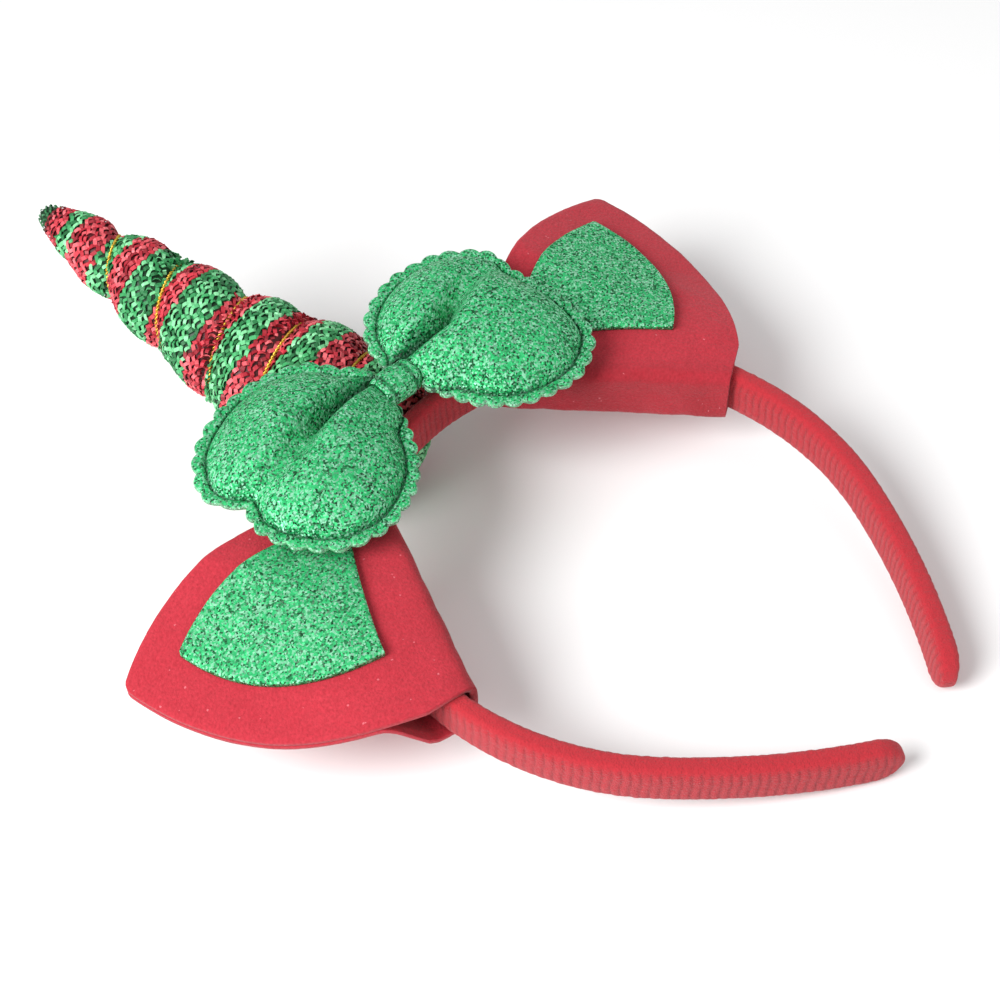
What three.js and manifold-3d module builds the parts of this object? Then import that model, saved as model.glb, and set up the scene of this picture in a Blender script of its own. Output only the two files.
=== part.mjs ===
// Unicorn headpiece: a fabric-covered headband with a stuffed horn, two felt ears and a padded bow.
// Millimetres. Each piece is modelled as worn: X to the side, Y up, Z forward, with the band's
// back edge at Z 0 and the middle of its crown at X 0, Y 0. The whole is then laid down, +Z up.

import * as THREE from 'three';
import { mergeVertices } from 'three/addons/utils/BufferGeometryUtils.js';
import Module from 'manifold-3d';

const wasm = await Module();
wasm.setup();

// Clearance between pieces that touch
const gap = 0.3;

// Headband
const stripWidth = 12.4;
const stripThick = 5.4;
const crownRadius = 58.4;
const bandHalfLength = 192.2;
const tipRounding = 7;
// Least width and thickness of the strip's ends, as shares
const tipLeastWidth = 0.3;
const tipLeastThick = 0.4;
// Each arc ends at a share of the half length, with its radius as a share of the crown's
const bandArcs = [
  { until: 0.4163, radius: 1.0 },
  { until: 0.7182, radius: 1.281 },
  { until: 1.0, radius: 3.176 },
];
const bandSteps = 60;
const sectionSides = 12;
// 1 gives an oval section, less gives flatter faces
const sectionRoundness = 0.55;
// Share of half a turn over which the steps crowd towards the band's ends
const bandCrowding = 0.31;

// Horn
const hornLength = 127.5;
const hornRadius = 22.6;
const hornSetBack = 15.9;
const hornLean = THREE.MathUtils.degToRad(10.44);
const hornDrop = 2.4;
const grooveDepth = 3.2;
// The groove is shallower where the horn's radius is under this
const grooveFullRadius = 10;
// Radius of the horn's crests: height as a share of its length, radius as a share of its base radius
const hornTaper = [
  { height: 0.0, radius: 0.0 },
  { height: 0.005, radius: 0.16 },
  { height: 0.014, radius: 0.38 },
  { height: 0.027, radius: 0.58 },
  { height: 0.045, radius: 0.76 },
  { height: 0.07, radius: 0.91 },
  { height: 0.12, radius: 0.97 },
  { height: 0.2, radius: 0.98 },
  { height: 0.314, radius: 0.885 },
  { height: 0.47, radius: 0.705 },
  { height: 0.55, radius: 0.635 },
  { height: 0.627, radius: 0.585 },
  { height: 0.7, radius: 0.52 },
  { height: 0.784, radius: 0.44 },
  { height: 0.85, radius: 0.37 },
  { height: 0.9, radius: 0.295 },
  { height: 0.965, radius: 0.17 },
  { height: 0.99, radius: 0.105 },
  { height: 1.0, radius: 0.0 },
];
// Height of each turn of the wound groove at the front of the horn, as a share of its length
const grooveTurns = [
  { turn: 0, height: 0.03 },
  { turn: 1, height: 0.19 },
  { turn: 2, height: 0.347 },
  { turn: 3, height: 0.478 },
  { turn: 4, height: 0.645 },
  { turn: 5, height: 0.796 },
  { turn: 6, height: 0.94 },
  { turn: 7, height: 1.08 },
];
// Shares of the horn's length between which the groove starts and fades
const grooveStart = { from: 0.04, to: 0.14 };
const grooveEnd = { from: 0.82, to: 0.92 };
const bulgeRoundness = 0.6;
const hornSides = 30;
const hornStepsPerTurn = 7;

// Gold cord wound in the groove
const cordDiameter = 1.2;
// The stiff cord rides a little above the bottom of the groove
const cordLift = 0.35;
const cordFirstTurn = 1.0;
const cordLastTurn = 5.45;
const cordSides = 6;
const cordStepsPerTurn = 20;

// Flattening of the soft horn where it lies on a surface
const restFlat = 0.9;

// Ears
const feltThick = 1.6;
const earLowEnd = 92;
const earHighEnd = 27;
const earReach = 71;
const earTipShift = 6;
const earTipWidth = 1.8;
const earShoulderReach = { low: 12.3, high: 9.7 };
const earShoulderOut = { low: 2.4, high: 2.8 };
const earBulge = { low: 8.6, high: 9.2 };
const earTipHeight = 6.8;
const earSlope = { out: 0.186, up: 0.181 };
// The front rises from the fold's height to its slanted face between these distances from the fold
const earRise = { from: 5, to: 48, most: 1.2 };
const earJoinLength = 15;
// Clearance of the strip before the two layers start to come together
const earJoinClearance = 1;
// Share of the ear's edge that its blunt tip takes
const earTipShare = 0.02;
const earColumns = 20;
const earRows = 7;
// The pocket runs past the felt's ends, and stops where the layers have nearly met
const pocketOverrun = 8;
const pocketMeets = 0.97;
const pocketSearchStep = 0.25;
const pocketColumns = 12;
const pocketRows = 7;

// Glitter patches on the ears
const patchThick = 1.6;
const patchCorner = {
  low: { along: 14.4, out: 15.7 },
  tip: { along: 35.7, out: 57.7 },
  high: { along: 52.1, out: 11 },
};
const patchBulge = { low: 7.2, high: 6.3, base: 0.9 };
const patchColumns = 20;
const patchRows = 6;

// Bow
const bowTurn = THREE.MathUtils.degToRad(-8.3);
const bowCentre = { x: 0.5, y: 1.5 };
const bowHeight = 20.4;
const loopRadius = 29.8;
const loopReach = 27;
const loopFront = 9.5;
const loopBack = 5;
const borderWidth = 3.8;
const borderThick = 1.2;
const scallops = 34;
const scallopDepth = 1.3;
const pointsPerScallop = 4;
const puffRoundness = 0.62;
// Depth of the valley as a share of the puff, at the knot and at the outer end
const valleyDepth = { knot: 0.75, end: 0.4 };
const valleyWidth = 4.5;
// The loop is flatter where it is gathered at the knot
const gather = { from: -2, to: 16, least: 0.35 };
// How far over the edge of an ear the bow still rests on it
const supportMargin = 2;
// Outline of each loop round its own centre: direction in degrees, reach as a share of the loop radius
const loopOutline = {
  right: [
    { angle: -187, reach: 0.86 },
    { angle: -178, reach: 0.8 },
    { angle: -166, reach: 0.775 },
    { angle: -153, reach: 0.775 },
    { angle: -140, reach: 0.8 },
    { angle: -119, reach: 0.867 },
    { angle: -96, reach: 0.913 },
    { angle: -75, reach: 0.96 },
    { angle: -52, reach: 0.955 },
    { angle: -38, reach: 0.883 },
    { angle: -26, reach: 0.819 },
    { angle: -13, reach: 0.78 },
    { angle: 4, reach: 0.748 },
    { angle: 20, reach: 0.755 },
    { angle: 30, reach: 0.82 },
    { angle: 37, reach: 0.91 },
    { angle: 48, reach: 0.97 },
    { angle: 66, reach: 1.015 },
    { angle: 95, reach: 1.022 },
    { angle: 124, reach: 1.025 },
    { angle: 140, reach: 1.0 },
    { angle: 152, reach: 0.953 },
    { angle: 163, reach: 0.9 },
    { angle: 173, reach: 0.86 },
  ],
  left: [
    { angle: -187, reach: 0.86 },
    { angle: -175, reach: 0.77 },
    { angle: -157, reach: 0.725 },
    { angle: -142, reach: 0.738 },
    { angle: -127, reach: 0.775 },
    { angle: -102, reach: 0.85 },
    { angle: -78, reach: 0.94 },
    { angle: -60, reach: 0.967 },
    { angle: -42, reach: 0.957 },
    { angle: -23, reach: 0.937 },
    { angle: -12, reach: 0.92 },
    { angle: -5, reach: 0.868 },
    { angle: 4, reach: 0.815 },
    { angle: 9, reach: 0.885 },
    { angle: 15, reach: 0.985 },
    { angle: 24, reach: 1.055 },
    { angle: 45, reach: 1.06 },
    { angle: 64, reach: 1.02 },
    { angle: 82, reach: 1.01 },
    { angle: 111, reach: 1.005 },
    { angle: 125, reach: 0.985 },
    { angle: 139, reach: 0.925 },
    { angle: 155, reach: 0.945 },
    { angle: 173, reach: 0.86 },
  ],
};
// Line of the valley in each loop: place along the loop as a share of its length, height in mm
const valleyLine = {
  right: [
    { share: 0, up: 8.8 },
    { share: 0.24, up: 6.9 },
    { share: 0.36, up: 6.4 },
    { share: 0.57, up: 10.5 },
    { share: 0.7, up: 12.3 },
    { share: 1, up: 10 },
  ],
  left: [
    { share: 0, up: 8.8 },
    { share: 0.46, up: 4.8 },
    { share: 0.61, up: 2.3 },
    { share: 0.87, up: 0.7 },
    { share: 1, up: -1.5 },
  ],
};

// Knot of the bow
const knotWidth = 11;
const knotRise = 3.6;
const knotAcross = 4.8;
const knotDeep = 4.4;
const knotThick = 1.4;
const knotSteps = 28;
// How far the bow's waist runs on into each loop
const waistReach = 4;

// General helpers

function lookUp(table, key, value, at) {
  let row = 0;
  while (row < table.length - 2 && at > table[row + 1][key]) {
    row += 1;
  }
  const low = table[row];
  const high = table[row + 1];
  const share = THREE.MathUtils.clamp((at - low[key]) / (high[key] - low[key]), 0, 1);
  return THREE.MathUtils.lerp(low[value], high[value], share);
}

// Merges equal points, drops flattened triangles and turns the faces outward
function closedBody(points, triangles) {
  const raw = new THREE.BufferGeometry();
  raw.setAttribute('position', new THREE.Float32BufferAttribute(points.flatMap((p) => [p.x, p.y, p.z]), 3));
  raw.setIndex(triangles);
  const merged = mergeVertices(raw, 1e-4);
  const spot = merged.getAttribute('position');
  const index = merged.getIndex().array;
  const kept = [];
  const corner = [new THREE.Vector3(), new THREE.Vector3(), new THREE.Vector3()];
  let volume = 0;
  for (let k = 0; k < index.length; k += 3) {
    const [a, b, c] = [index[k], index[k + 1], index[k + 2]];
    if (a === b || b === c || c === a) {
      continue;
    }
    corner[0].fromBufferAttribute(spot, a);
    corner[1].fromBufferAttribute(spot, b);
    corner[2].fromBufferAttribute(spot, c);
    volume += corner[0].dot(corner[1].clone().cross(corner[2]));
    kept.push(a, b, c);
  }
  if (volume < 0) {
    kept.reverse();
  }
  merged.setIndex(kept);
  return merged;
}

// Body between the rings of a sweep; the ends close on their middle points
function sweptBody(rings) {
  const sides = rings[0].length;
  const points = rings.flat();
  const triangles = [];
  for (let r = 0; r + 1 < rings.length; r += 1) {
    for (let i = 0; i < sides; i += 1) {
      const a = r * sides + i;
      const b = r * sides + ((i + 1) % sides);
      triangles.push(a, b, a + sides, b, b + sides, a + sides);
    }
  }
  for (const [first, turn] of [[0, false], [(rings.length - 1) * sides, true]]) {
    const middle = new THREE.Vector3();
    for (let i = 0; i < sides; i += 1) {
      middle.addScaledVector(points[first + i], 1 / sides);
    }
    const hub = points.push(middle) - 1;
    for (let i = 0; i < sides; i += 1) {
      const a = first + i;
      const b = first + ((i + 1) % sides);
      triangles.push(...(turn ? [a, b, hub] : [b, a, hub]));
    }
  }
  return closedBody(points, triangles);
}

// Body between an upper and a lower sheet over the same grid of columns and rows
function sheetBody(columns, rows, upper, lower) {
  const points = [];
  const triangles = [];
  const perColumn = rows + 1;
  const layer = (columns + 1) * perColumn;
  for (const height of [upper, lower]) {
    for (let i = 0; i <= columns; i += 1) {
      for (let j = 0; j <= rows; j += 1) {
        points.push(height(i, j));
      }
    }
  }
  for (let i = 0; i < columns; i += 1) {
    for (let j = 0; j < rows; j += 1) {
      const a = i * perColumn + j;
      const b = a + perColumn;
      triangles.push(a, b, a + 1, b, b + 1, a + 1);
      const c = a + layer;
      const d = b + layer;
      triangles.push(c, c + 1, d, d, c + 1, d + 1);
    }
  }
  const wall = (a, b) => triangles.push(a, a + layer, b, b, a + layer, b + layer);
  for (let i = 0; i < columns; i += 1) {
    wall(i * perColumn, (i + 1) * perColumn);
    wall((i + 1) * perColumn + rows, i * perColumn + rows);
  }
  for (let j = 0; j < rows; j += 1) {
    wall(j + 1, j);
    wall(columns * perColumn + j, columns * perColumn + j + 1);
  }
  return closedBody(points, triangles);
}

function toSolid(geometry) {
  const bare = new THREE.BufferGeometry();
  bare.setAttribute('position', geometry.getAttribute('position'));
  bare.setIndex(geometry.getIndex());
  const merged = mergeVertices(bare, 1e-4);
  return new wasm.Manifold(new wasm.Mesh({
    numProp: 3,
    vertProperties: new Float32Array(merged.getAttribute('position').array),
    triVerts: new Uint32Array(merged.getIndex().array),
  }));
}

function toGeometry(solid) {
  const mesh = solid.getMesh();
  const geometry = new THREE.BufferGeometry();
  geometry.setAttribute('position', new THREE.BufferAttribute(mesh.vertProperties, 3));
  geometry.setIndex(new THREE.BufferAttribute(mesh.triVerts, 1));
  return geometry;
}

function blockBody(low, high) {
  const size = high.clone().sub(low);
  const block = new THREE.BoxGeometry(size.x, size.y, size.z);
  block.deleteAttribute('normal');
  block.deleteAttribute('uv');
  const middle = low.clone().add(high).multiplyScalar(0.5);
  block.translate(middle.x, middle.y, middle.z);
  return mergeVertices(block, 1e-4);
}

// Headband: arcs of the middle line, from the crown down each side

function bandPoint(length) {
  const far = Math.abs(length);
  let done = 0;
  let angle = 0;
  const spot = new THREE.Vector2(0, 0);
  for (const arc of bandArcs) {
    const radius = arc.radius * crownRadius;
    const end = Math.min(far, arc.until * bandHalfLength);
    if (end <= done) {
      break;
    }
    const next = angle + (end - done) / radius;
    spot.x += radius * (Math.sin(next) - Math.sin(angle));
    spot.y += radius * (Math.cos(next) - Math.cos(angle));
    angle = next;
    done = end;
  }
  const side = Math.sign(length) || 1;
  return { x: side * spot.x, y: spot.y, out: new THREE.Vector2(side * Math.sin(angle), Math.cos(angle)) };
}

// A cushioned strip: nearly flat faces with well rounded edges
function stripSection(grow) {
  const section = [];
  for (let i = 0; i < sectionSides; i += 1) {
    const angle = ((i + 0.5) / sectionSides) * 2 * Math.PI;
    section.push({
      out: Math.sign(Math.cos(angle)) * Math.abs(Math.cos(angle)) ** sectionRoundness * (stripThick / 2 + grow),
      front: Math.sign(Math.sin(angle)) * Math.abs(Math.sin(angle)) ** sectionRoundness * (stripWidth / 2 + grow),
    });
  }
  return section;
}

// Sections lie closer together towards the two rounded ends
function bandBody(grow) {
  const rings = [];
  const quarter = bandCrowding * Math.PI;
  for (let k = 0; k <= bandSteps; k += 1) {
    const even = (2 * k) / bandSteps - 1;
    rings.push(bandRing((bandHalfLength * Math.sin(even * quarter)) / Math.sin(quarter), grow));
  }
  return sweptBody(rings);
}

function bandRing(length, grow) {
  const { x, y, out } = bandPoint(length);
  const into = Math.max(0, (Math.abs(length) - bandHalfLength + tipRounding) / tipRounding);
  const narrow = Math.max(tipLeastWidth, Math.sqrt(1 - into * into));
  const thin = THREE.MathUtils.lerp(tipLeastThick, 1, narrow);
  return stripSection(grow).map((spot) => new THREE.Vector3(
    x + out.x * spot.out * thin,
    y + out.y * spot.out * thin,
    stripWidth / 2 + spot.front * narrow,
  ));
}

// Horn: its base stands astride the strip, set back behind the strip's middle

const hornAxis = new THREE.Vector3(0, Math.cos(hornLean), Math.sin(hornLean));
const hornFront = new THREE.Vector3(0, -Math.sin(hornLean), Math.cos(hornLean));
const hornFoot = new THREE.Vector3(0, stripThick / 2 - hornDrop, stripWidth / 2 - hornSetBack);

function grooveHeight(turn) {
  return hornLength * lookUp(grooveTurns, 'turn', 'height', turn);
}

function crestRadius(height) {
  return hornRadius * lookUp(hornTaper, 'height', 'radius', height / hornLength);
}

function grooveDepthAt(height) {
  const share = height / hornLength;
  const fade = 1 - THREE.MathUtils.smoothstep(share, grooveEnd.from, grooveEnd.to);
  const root = THREE.MathUtils.smoothstep(share, grooveStart.from, grooveStart.to);
  return grooveDepth * fade * root * Math.min(1, crestRadius(height) / grooveFullRadius);
}

function hornPoint(height, angle, radius) {
  const side = new THREE.Vector3(Math.sin(angle), 0, 0);
  return hornFoot.clone()
    .addScaledVector(hornAxis, height)
    .addScaledVector(side, radius)
    .addScaledVector(hornFront, Math.cos(angle) * radius);
}

// The first turn starts from the foot
function turnHeight(turn) {
  if (turn < 0) {
    return 0;
  }
  return Math.min(hornLength, grooveHeight(turn) - (1 - Math.min(1, turn)) * grooveHeight(0));
}

// The grid follows the wound groove, so each turn's bulge is one band of the grid
function hornBody() {
  const points = [];
  const triangles = [];
  const lastTurn = grooveTurns.at(-1).turn;
  const rows = (lastTurn + 2) * hornStepsPerTurn;
  for (let j = 0; j <= rows; j += 1) {
    for (let i = 0; i <= hornSides; i += 1) {
      const turn = j / hornStepsPerTurn - 1 + i / hornSides;
      const height = turnHeight(turn);
      const bulge = Math.abs(Math.sin(Math.PI * (j / hornStepsPerTurn))) ** bulgeRoundness;
      const radius = Math.max(0, crestRadius(height) - grooveDepthAt(height) * (1 - bulge));
      points.push(hornPoint(height, (i / hornSides) * 2 * Math.PI, radius));
    }
  }
  const across = hornSides + 1;
  for (let j = 0; j < rows; j += 1) {
    for (let i = 0; i < hornSides; i += 1) {
      const a = j * across + i;
      triangles.push(a, a + 1, a + across, a + 1, a + across + 1, a + across);
    }
  }
  return closedBody(points, triangles);
}

// Gold cord, lying in the groove
function cordBody() {
  const rings = [];
  const steps = Math.round((cordLastTurn - cordFirstTurn) * cordStepsPerTurn);
  const route = [];
  for (let k = 0; k <= steps; k += 1) {
    const turn = cordFirstTurn + ((cordLastTurn - cordFirstTurn) * k) / steps;
    const height = grooveHeight(turn);
    const radius = crestRadius(height) - grooveDepthAt(height) + gap + cordLift + cordDiameter / 2;
    route.push(hornPoint(height, turn * 2 * Math.PI, radius));
  }
  for (let k = 0; k <= steps; k += 1) {
    const along = route[Math.min(k + 1, steps)].clone().sub(route[Math.max(k - 1, 0)]).normalize();
    const outward = route[k].clone().sub(hornFoot);
    outward.addScaledVector(hornAxis, -outward.dot(hornAxis));
    outward.addScaledVector(along, -outward.dot(along)).normalize();
    const sideways = along.clone().cross(outward);
    const ring = [];
    for (let i = 0; i < cordSides; i += 1) {
      const angle = (i / cordSides) * 2 * Math.PI;
      ring.push(route[k].clone()
        .addScaledVector(outward, (Math.cos(angle) * cordDiameter) / 2)
        .addScaledVector(sideways, (Math.sin(angle) * cordDiameter) / 2));
    }
    rings.push(ring);
  }
  return sweptBody(rings);
}

// Ears: a felt pocket folded round the strip, with its straight fold on the inside of the band

const feltFace = stripThick / 2 + gap + feltThick;
const lowFoot = bandPoint(earLowEnd);
const highFoot = bandPoint(earHighEnd);
const foldLow = new THREE.Vector2(lowFoot.x, lowFoot.y).addScaledVector(lowFoot.out, -feltFace);
const foldHigh = new THREE.Vector2(highFoot.x, highFoot.y).addScaledVector(highFoot.out, -feltFace);
const foldLength = foldLow.distanceTo(foldHigh);
const earAlong = foldHigh.clone().sub(foldLow).divideScalar(foldLength);
const earOut = new THREE.Vector2(earAlong.y, -earAlong.x);
const earTipAlong = foldLength / 2 + earTipShift;

function arcBetween(from, to, bulge, share) {
  const chord = to.clone().sub(from);
  const half = chord.length() / 2;
  const outward = new THREE.Vector2(-chord.y, chord.x).normalize();
  if (Math.abs(bulge) < 1e-6) {
    return from.clone().addScaledVector(chord, share);
  }
  const radius = (half * half + bulge * bulge) / (2 * bulge);
  const reach = (2 * share - 1) * half;
  const rise = Math.sign(radius) * Math.sqrt(radius * radius - reach * reach) - (radius - bulge);
  return from.clone().addScaledVector(chord, share).addScaledVector(outward, rise);
}

// Edge of a leaf with two bulging sides that meet at its tip
function leafEdge(low, tipLow, tipHigh, high, bulge, share) {
  const tipShare = tipLow.equals(tipHigh) ? 0 : earTipShare;
  const half = 0.5 - tipShare / 2;
  if (share <= half) {
    return arcBetween(low, tipLow, bulge.low, share / half);
  }
  if (share >= 1 - half) {
    return arcBetween(tipHigh, high, bulge.high, 1 - (1 - share) / half);
  }
  return tipLow.clone().lerp(tipHigh, (share - half) / tipShare);
}

// Height of the ear's front face
function earFront(along, out) {
  const slanted = earTipHeight + earSlope.out * (earReach - out) + earSlope.up * (along - earTipAlong);
  const overBand = stripWidth + gap + feltThick;
  const capped = Math.min(slanted, overBand + earRise.most);
  return THREE.MathUtils.lerp(overBand, capped, THREE.MathUtils.smoothstep(out, earRise.from, earRise.to));
}

// How far the two layers of felt have come together, from 0 at the strip to 1 where they meet
function earJoined(along, out) {
  const middle = (2 * along) / foldLength - 1;
  const sagitta = crownRadius * (1 - Math.cos(foldLength / 2 / crownRadius));
  const stripFace = feltFace + stripThick / 2 + gap + sagitta * Math.max(0, 1 - middle * middle);
  const start = stripFace + earJoinClearance;
  return THREE.MathUtils.smoothstep(out, start, start + earJoinLength);
}

function placeOnEar(along, out, height) {
  const spot = foldLow.clone().addScaledVector(earAlong, along).addScaledVector(earOut, out);
  return new THREE.Vector3(spot.x, spot.y, height);
}

function earBody() {
  const low = new THREE.Vector2(-earShoulderOut.low, earShoulderReach.low);
  const high = new THREE.Vector2(foldLength + earShoulderOut.high, earShoulderReach.high);
  const tipLow = new THREE.Vector2(earTipAlong - earTipWidth / 2, earReach);
  const tipHigh = new THREE.Vector2(earTipAlong + earTipWidth / 2, earReach);
  const spotAt = (i, j) => {
    const share = i / earColumns;
    const edge = leafEdge(low, tipLow, tipHigh, high, earBulge, share);
    const fold = new THREE.Vector2(foldLength * share, 0);
    return fold.lerp(edge, j / earRows);
  };
  const upper = (i, j) => {
    const spot = spotAt(i, j);
    return placeOnEar(spot.x, spot.y, earFront(spot.x, spot.y));
  };
  const lower = (i, j) => {
    const spot = spotAt(i, j);
    const joined = earFront(spot.x, spot.y) - 2 * feltThick;
    const height = THREE.MathUtils.lerp(-gap - feltThick, joined, earJoined(spot.x, spot.y));
    return placeOnEar(spot.x, spot.y, height);
  };
  const whole = toSolid(sheetBody(earColumns, earRows, upper, lower));
  return toGeometry(whole.subtract(toSolid(pocketBody())));
}

// The space between the two layers, open at both ends for the strip
function pocketBody() {
  const spotAt = (i, j) => {
    const along = -pocketOverrun + ((foldLength + 2 * pocketOverrun) * i) / pocketColumns;
    let meets = feltThick;
    while (earJoined(along, meets) < pocketMeets) {
      meets += pocketSearchStep;
    }
    return new THREE.Vector2(along, feltThick + ((meets - feltThick) * j) / pocketRows);
  };
  const upper = (i, j) => {
    const spot = spotAt(i, j);
    return placeOnEar(spot.x, spot.y, earFront(spot.x, spot.y) - feltThick);
  };
  const lower = (i, j) => {
    const spot = spotAt(i, j);
    const roof = earFront(spot.x, spot.y) - feltThick;
    return placeOnEar(spot.x, spot.y, THREE.MathUtils.lerp(-gap, roof, earJoined(spot.x, spot.y)));
  };
  return sheetBody(pocketColumns, pocketRows, upper, lower);
}

function patchBody() {
  const low = new THREE.Vector2(patchCorner.low.along, patchCorner.low.out);
  const tip = new THREE.Vector2(patchCorner.tip.along, patchCorner.tip.out);
  const high = new THREE.Vector2(patchCorner.high.along, patchCorner.high.out);
  const spotAt = (i, j) => {
    const share = i / patchColumns;
    const edge = leafEdge(low, tip, tip, high, patchBulge, share);
    return arcBetween(low, high, patchBulge.base, share).lerp(edge, j / patchRows);
  };
  const face = (lift) => (i, j) => {
    const spot = spotAt(i, j);
    return placeOnEar(spot.x, spot.y, earFront(spot.x, spot.y) + lift);
  };
  return sheetBody(patchColumns, patchRows, face(gap + patchThick), face(gap));
}

// Bow: two padded loops with a scalloped border, pinched in the middle by the knot

const bowAlong = new THREE.Vector2(Math.cos(bowTurn), Math.sin(bowTurn));
const bowUp = new THREE.Vector2(-Math.sin(bowTurn), Math.cos(bowTurn));

function placeOnBow(along, up, height) {
  return new THREE.Vector3(
    bowCentre.x + bowAlong.x * along + bowUp.x * up,
    bowCentre.y + bowAlong.y * along + bowUp.y * up,
    height,
  );
}

// Highest point of the horn and the ears under a point of the bow
function supportHeight(x, y) {
  let height = stripWidth;
  const up = (y - hornFoot.y) / hornAxis.y;
  const radius = up > 0 ? crestRadius(Math.min(up, hornLength)) : 0;
  if (Math.abs(x) < radius) {
    const axisHeight = hornFoot.z + up * hornAxis.z;
    height = Math.max(height, axisHeight + Math.sqrt(radius * radius - x * x) / Math.cos(hornLean));
  }
  const spot = new THREE.Vector2(Math.abs(x), y).sub(foldLow);
  const along = spot.dot(earAlong);
  const out = spot.dot(earOut);
  if (out > -supportMargin && along > -supportMargin) {
    height = Math.max(height, earFront(along, out) + gap + patchThick);
  }
  return height;
}

// Front height of a loop: two puffed lobes with a valley from the knot towards the notch in its edge
function loopPuff(valley, along, up, inward) {
  const round = Math.max(0, 1 - inward * inward) ** puffRoundness;
  const share = THREE.MathUtils.clamp(along / (2 * loopReach), 0, 1);
  const off = (up - lookUp(valley, 'share', 'up', share)) / valleyWidth;
  const deep = THREE.MathUtils.lerp(valleyDepth.knot, valleyDepth.end, share);
  const gathered = THREE.MathUtils.smoothstep(along, gather.from, gather.to);
  return round * (1 - deep * Math.exp(-off * off)) * THREE.MathUtils.lerp(gather.least, 1, gathered);
}

function loopBody(side) {
  const spokes = scallops * pointsPerScallop;
  const table = side > 0 ? loopOutline.right : loopOutline.left;
  const valley = side > 0 ? valleyLine.right : valleyLine.left;
  const degrees = (i) => table[0].angle + (360 * i) / spokes;
  const outline = (i) => loopRadius * lookUp(table, 'angle', 'reach', degrees(i));
  const spotAt = (i, reach) => {
    const angle = THREE.MathUtils.degToRad(degrees(i));
    return new THREE.Vector2(loopReach + Math.cos(angle) * reach, Math.sin(angle) * reach);
  };
  const frontRings = [0.4, 0.75, 1];
  const backRings = [1, 0.6];
  const points = [];
  const rings = [];
  const addRing = (reachAt, heightAt) => {
    const first = points.length;
    for (let i = 0; i < spokes; i += 1) {
      const spot = spotAt(i, reachAt(i));
      points.push(placeOnBow(side * spot.x, spot.y, heightAt(spot, i)));
    }
    rings.push(first);
  };
  const seam = (i) => outline(i) - borderWidth;
  const scalloped = (i) => {
    const wave = Math.abs(Math.sin((Math.PI * (i % pointsPerScallop)) / pointsPerScallop));
    return outline(i) - scallopDepth * (1 - wave);
  };
  const front = (share) => (spot) => bowHeight + borderThick / 2 + loopFront * loopPuff(valley, spot.x, spot.y, share);
  const back = (share) => (spot) => {
    const place = placeOnBow(side * spot.x, spot.y, 0);
    const free = bowHeight - borderThick / 2 - loopBack * loopPuff(valley, spot.x, spot.y, share);
    const rest = Math.min(bowHeight - borderThick / 2, supportHeight(place.x, place.y) + gap);
    return Math.max(free, rest);
  };
  for (const share of frontRings) {
    addRing((i) => seam(i) * share, front(share));
  }
  addRing(scalloped, () => bowHeight + borderThick / 2);
  addRing(scalloped, () => bowHeight - borderThick / 2);
  for (const share of backRings) {
    addRing((i) => seam(i) * share, back(share));
  }
  const triangles = [];
  for (let r = 0; r + 1 < rings.length; r += 1) {
    for (let i = 0; i < spokes; i += 1) {
      const next = (i + 1) % spokes;
      const [a, b, c, d] = [rings[r] + i, rings[r] + next, rings[r + 1] + i, rings[r + 1] + next];
      triangles.push(a, c, b, b, c, d);
    }
  }
  const middle = new THREE.Vector2(loopReach, 0);
  for (const [ring, height, turn] of [[rings[0], front(0), false], [rings.at(-1), back(0), true]]) {
    const hub = points.push(placeOnBow(side * middle.x, middle.y, height(middle))) - 1;
    for (let i = 0; i < spokes; i += 1) {
      const next = (i + 1) % spokes;
      triangles.push(...(turn ? [hub, ring + next, ring + i] : [hub, ring + i, ring + next]));
    }
  }
  return closedBody(points, triangles);
}

// An oval tube along the bow's length, round the middle of its knot
function waistTube(across, deep, halfLength) {
  const rings = [-halfLength, halfLength].map((along) => {
    const ring = [];
    for (let i = 0; i < knotSteps; i += 1) {
      const angle = (i / knotSteps) * 2 * Math.PI;
      ring.push(placeOnBow(along, knotRise + across * Math.cos(angle), bowHeight + deep * Math.sin(angle)));
    }
    return ring;
  });
  return sweptBody(rings);
}

function bowBody() {
  const waistAcross = knotAcross - knotThick - gap;
  const waistDeep = knotDeep - knotThick - gap;
  const loops = toSolid(loopBody(1)).add(toSolid(loopBody(-1)));
  const seat = toSolid(waistTube(knotAcross + gap, 2 * knotDeep, knotWidth / 2 + gap));
  const waist = toSolid(waistTube(waistAcross, waistDeep, knotWidth / 2 + waistReach));
  return toGeometry(loops.subtract(seat).add(waist));
}

function knotBody() {
  const outer = toSolid(waistTube(knotAcross, knotDeep, knotWidth / 2));
  const hole = toSolid(waistTube(knotAcross - knotThick, knotDeep - knotThick, knotWidth));
  return toGeometry(outer.subtract(hole));
}

// Materials

function finish(colour, roughness, metalness) {
  return new THREE.MeshStandardMaterial({ color: colour, roughness, metalness });
}

const fleece = finish(0xd8343f, 0.95, 0);
const felt = finish(0xc41f33, 1, 0);
const glitter = finish(0x2fa062, 0.5, 0.3);
const tinsel = finish(0x3fae6e, 0.4, 0.4);
const gold = finish(0xd9a92a, 0.35, 0.7);

// Assembly

const worn = new THREE.Group();

function addPiece(name, geometry, material) {
  const mesh = new THREE.Mesh(geometry, material);
  mesh.name = name;
  worn.add(mesh);
  return mesh;
}

function mirrored(geometry) {
  const copy = geometry.clone();
  copy.scale(-1, 1, 1);
  copy.setIndex(Array.from(copy.getIndex().array).reverse());
  return copy;
}

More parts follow.
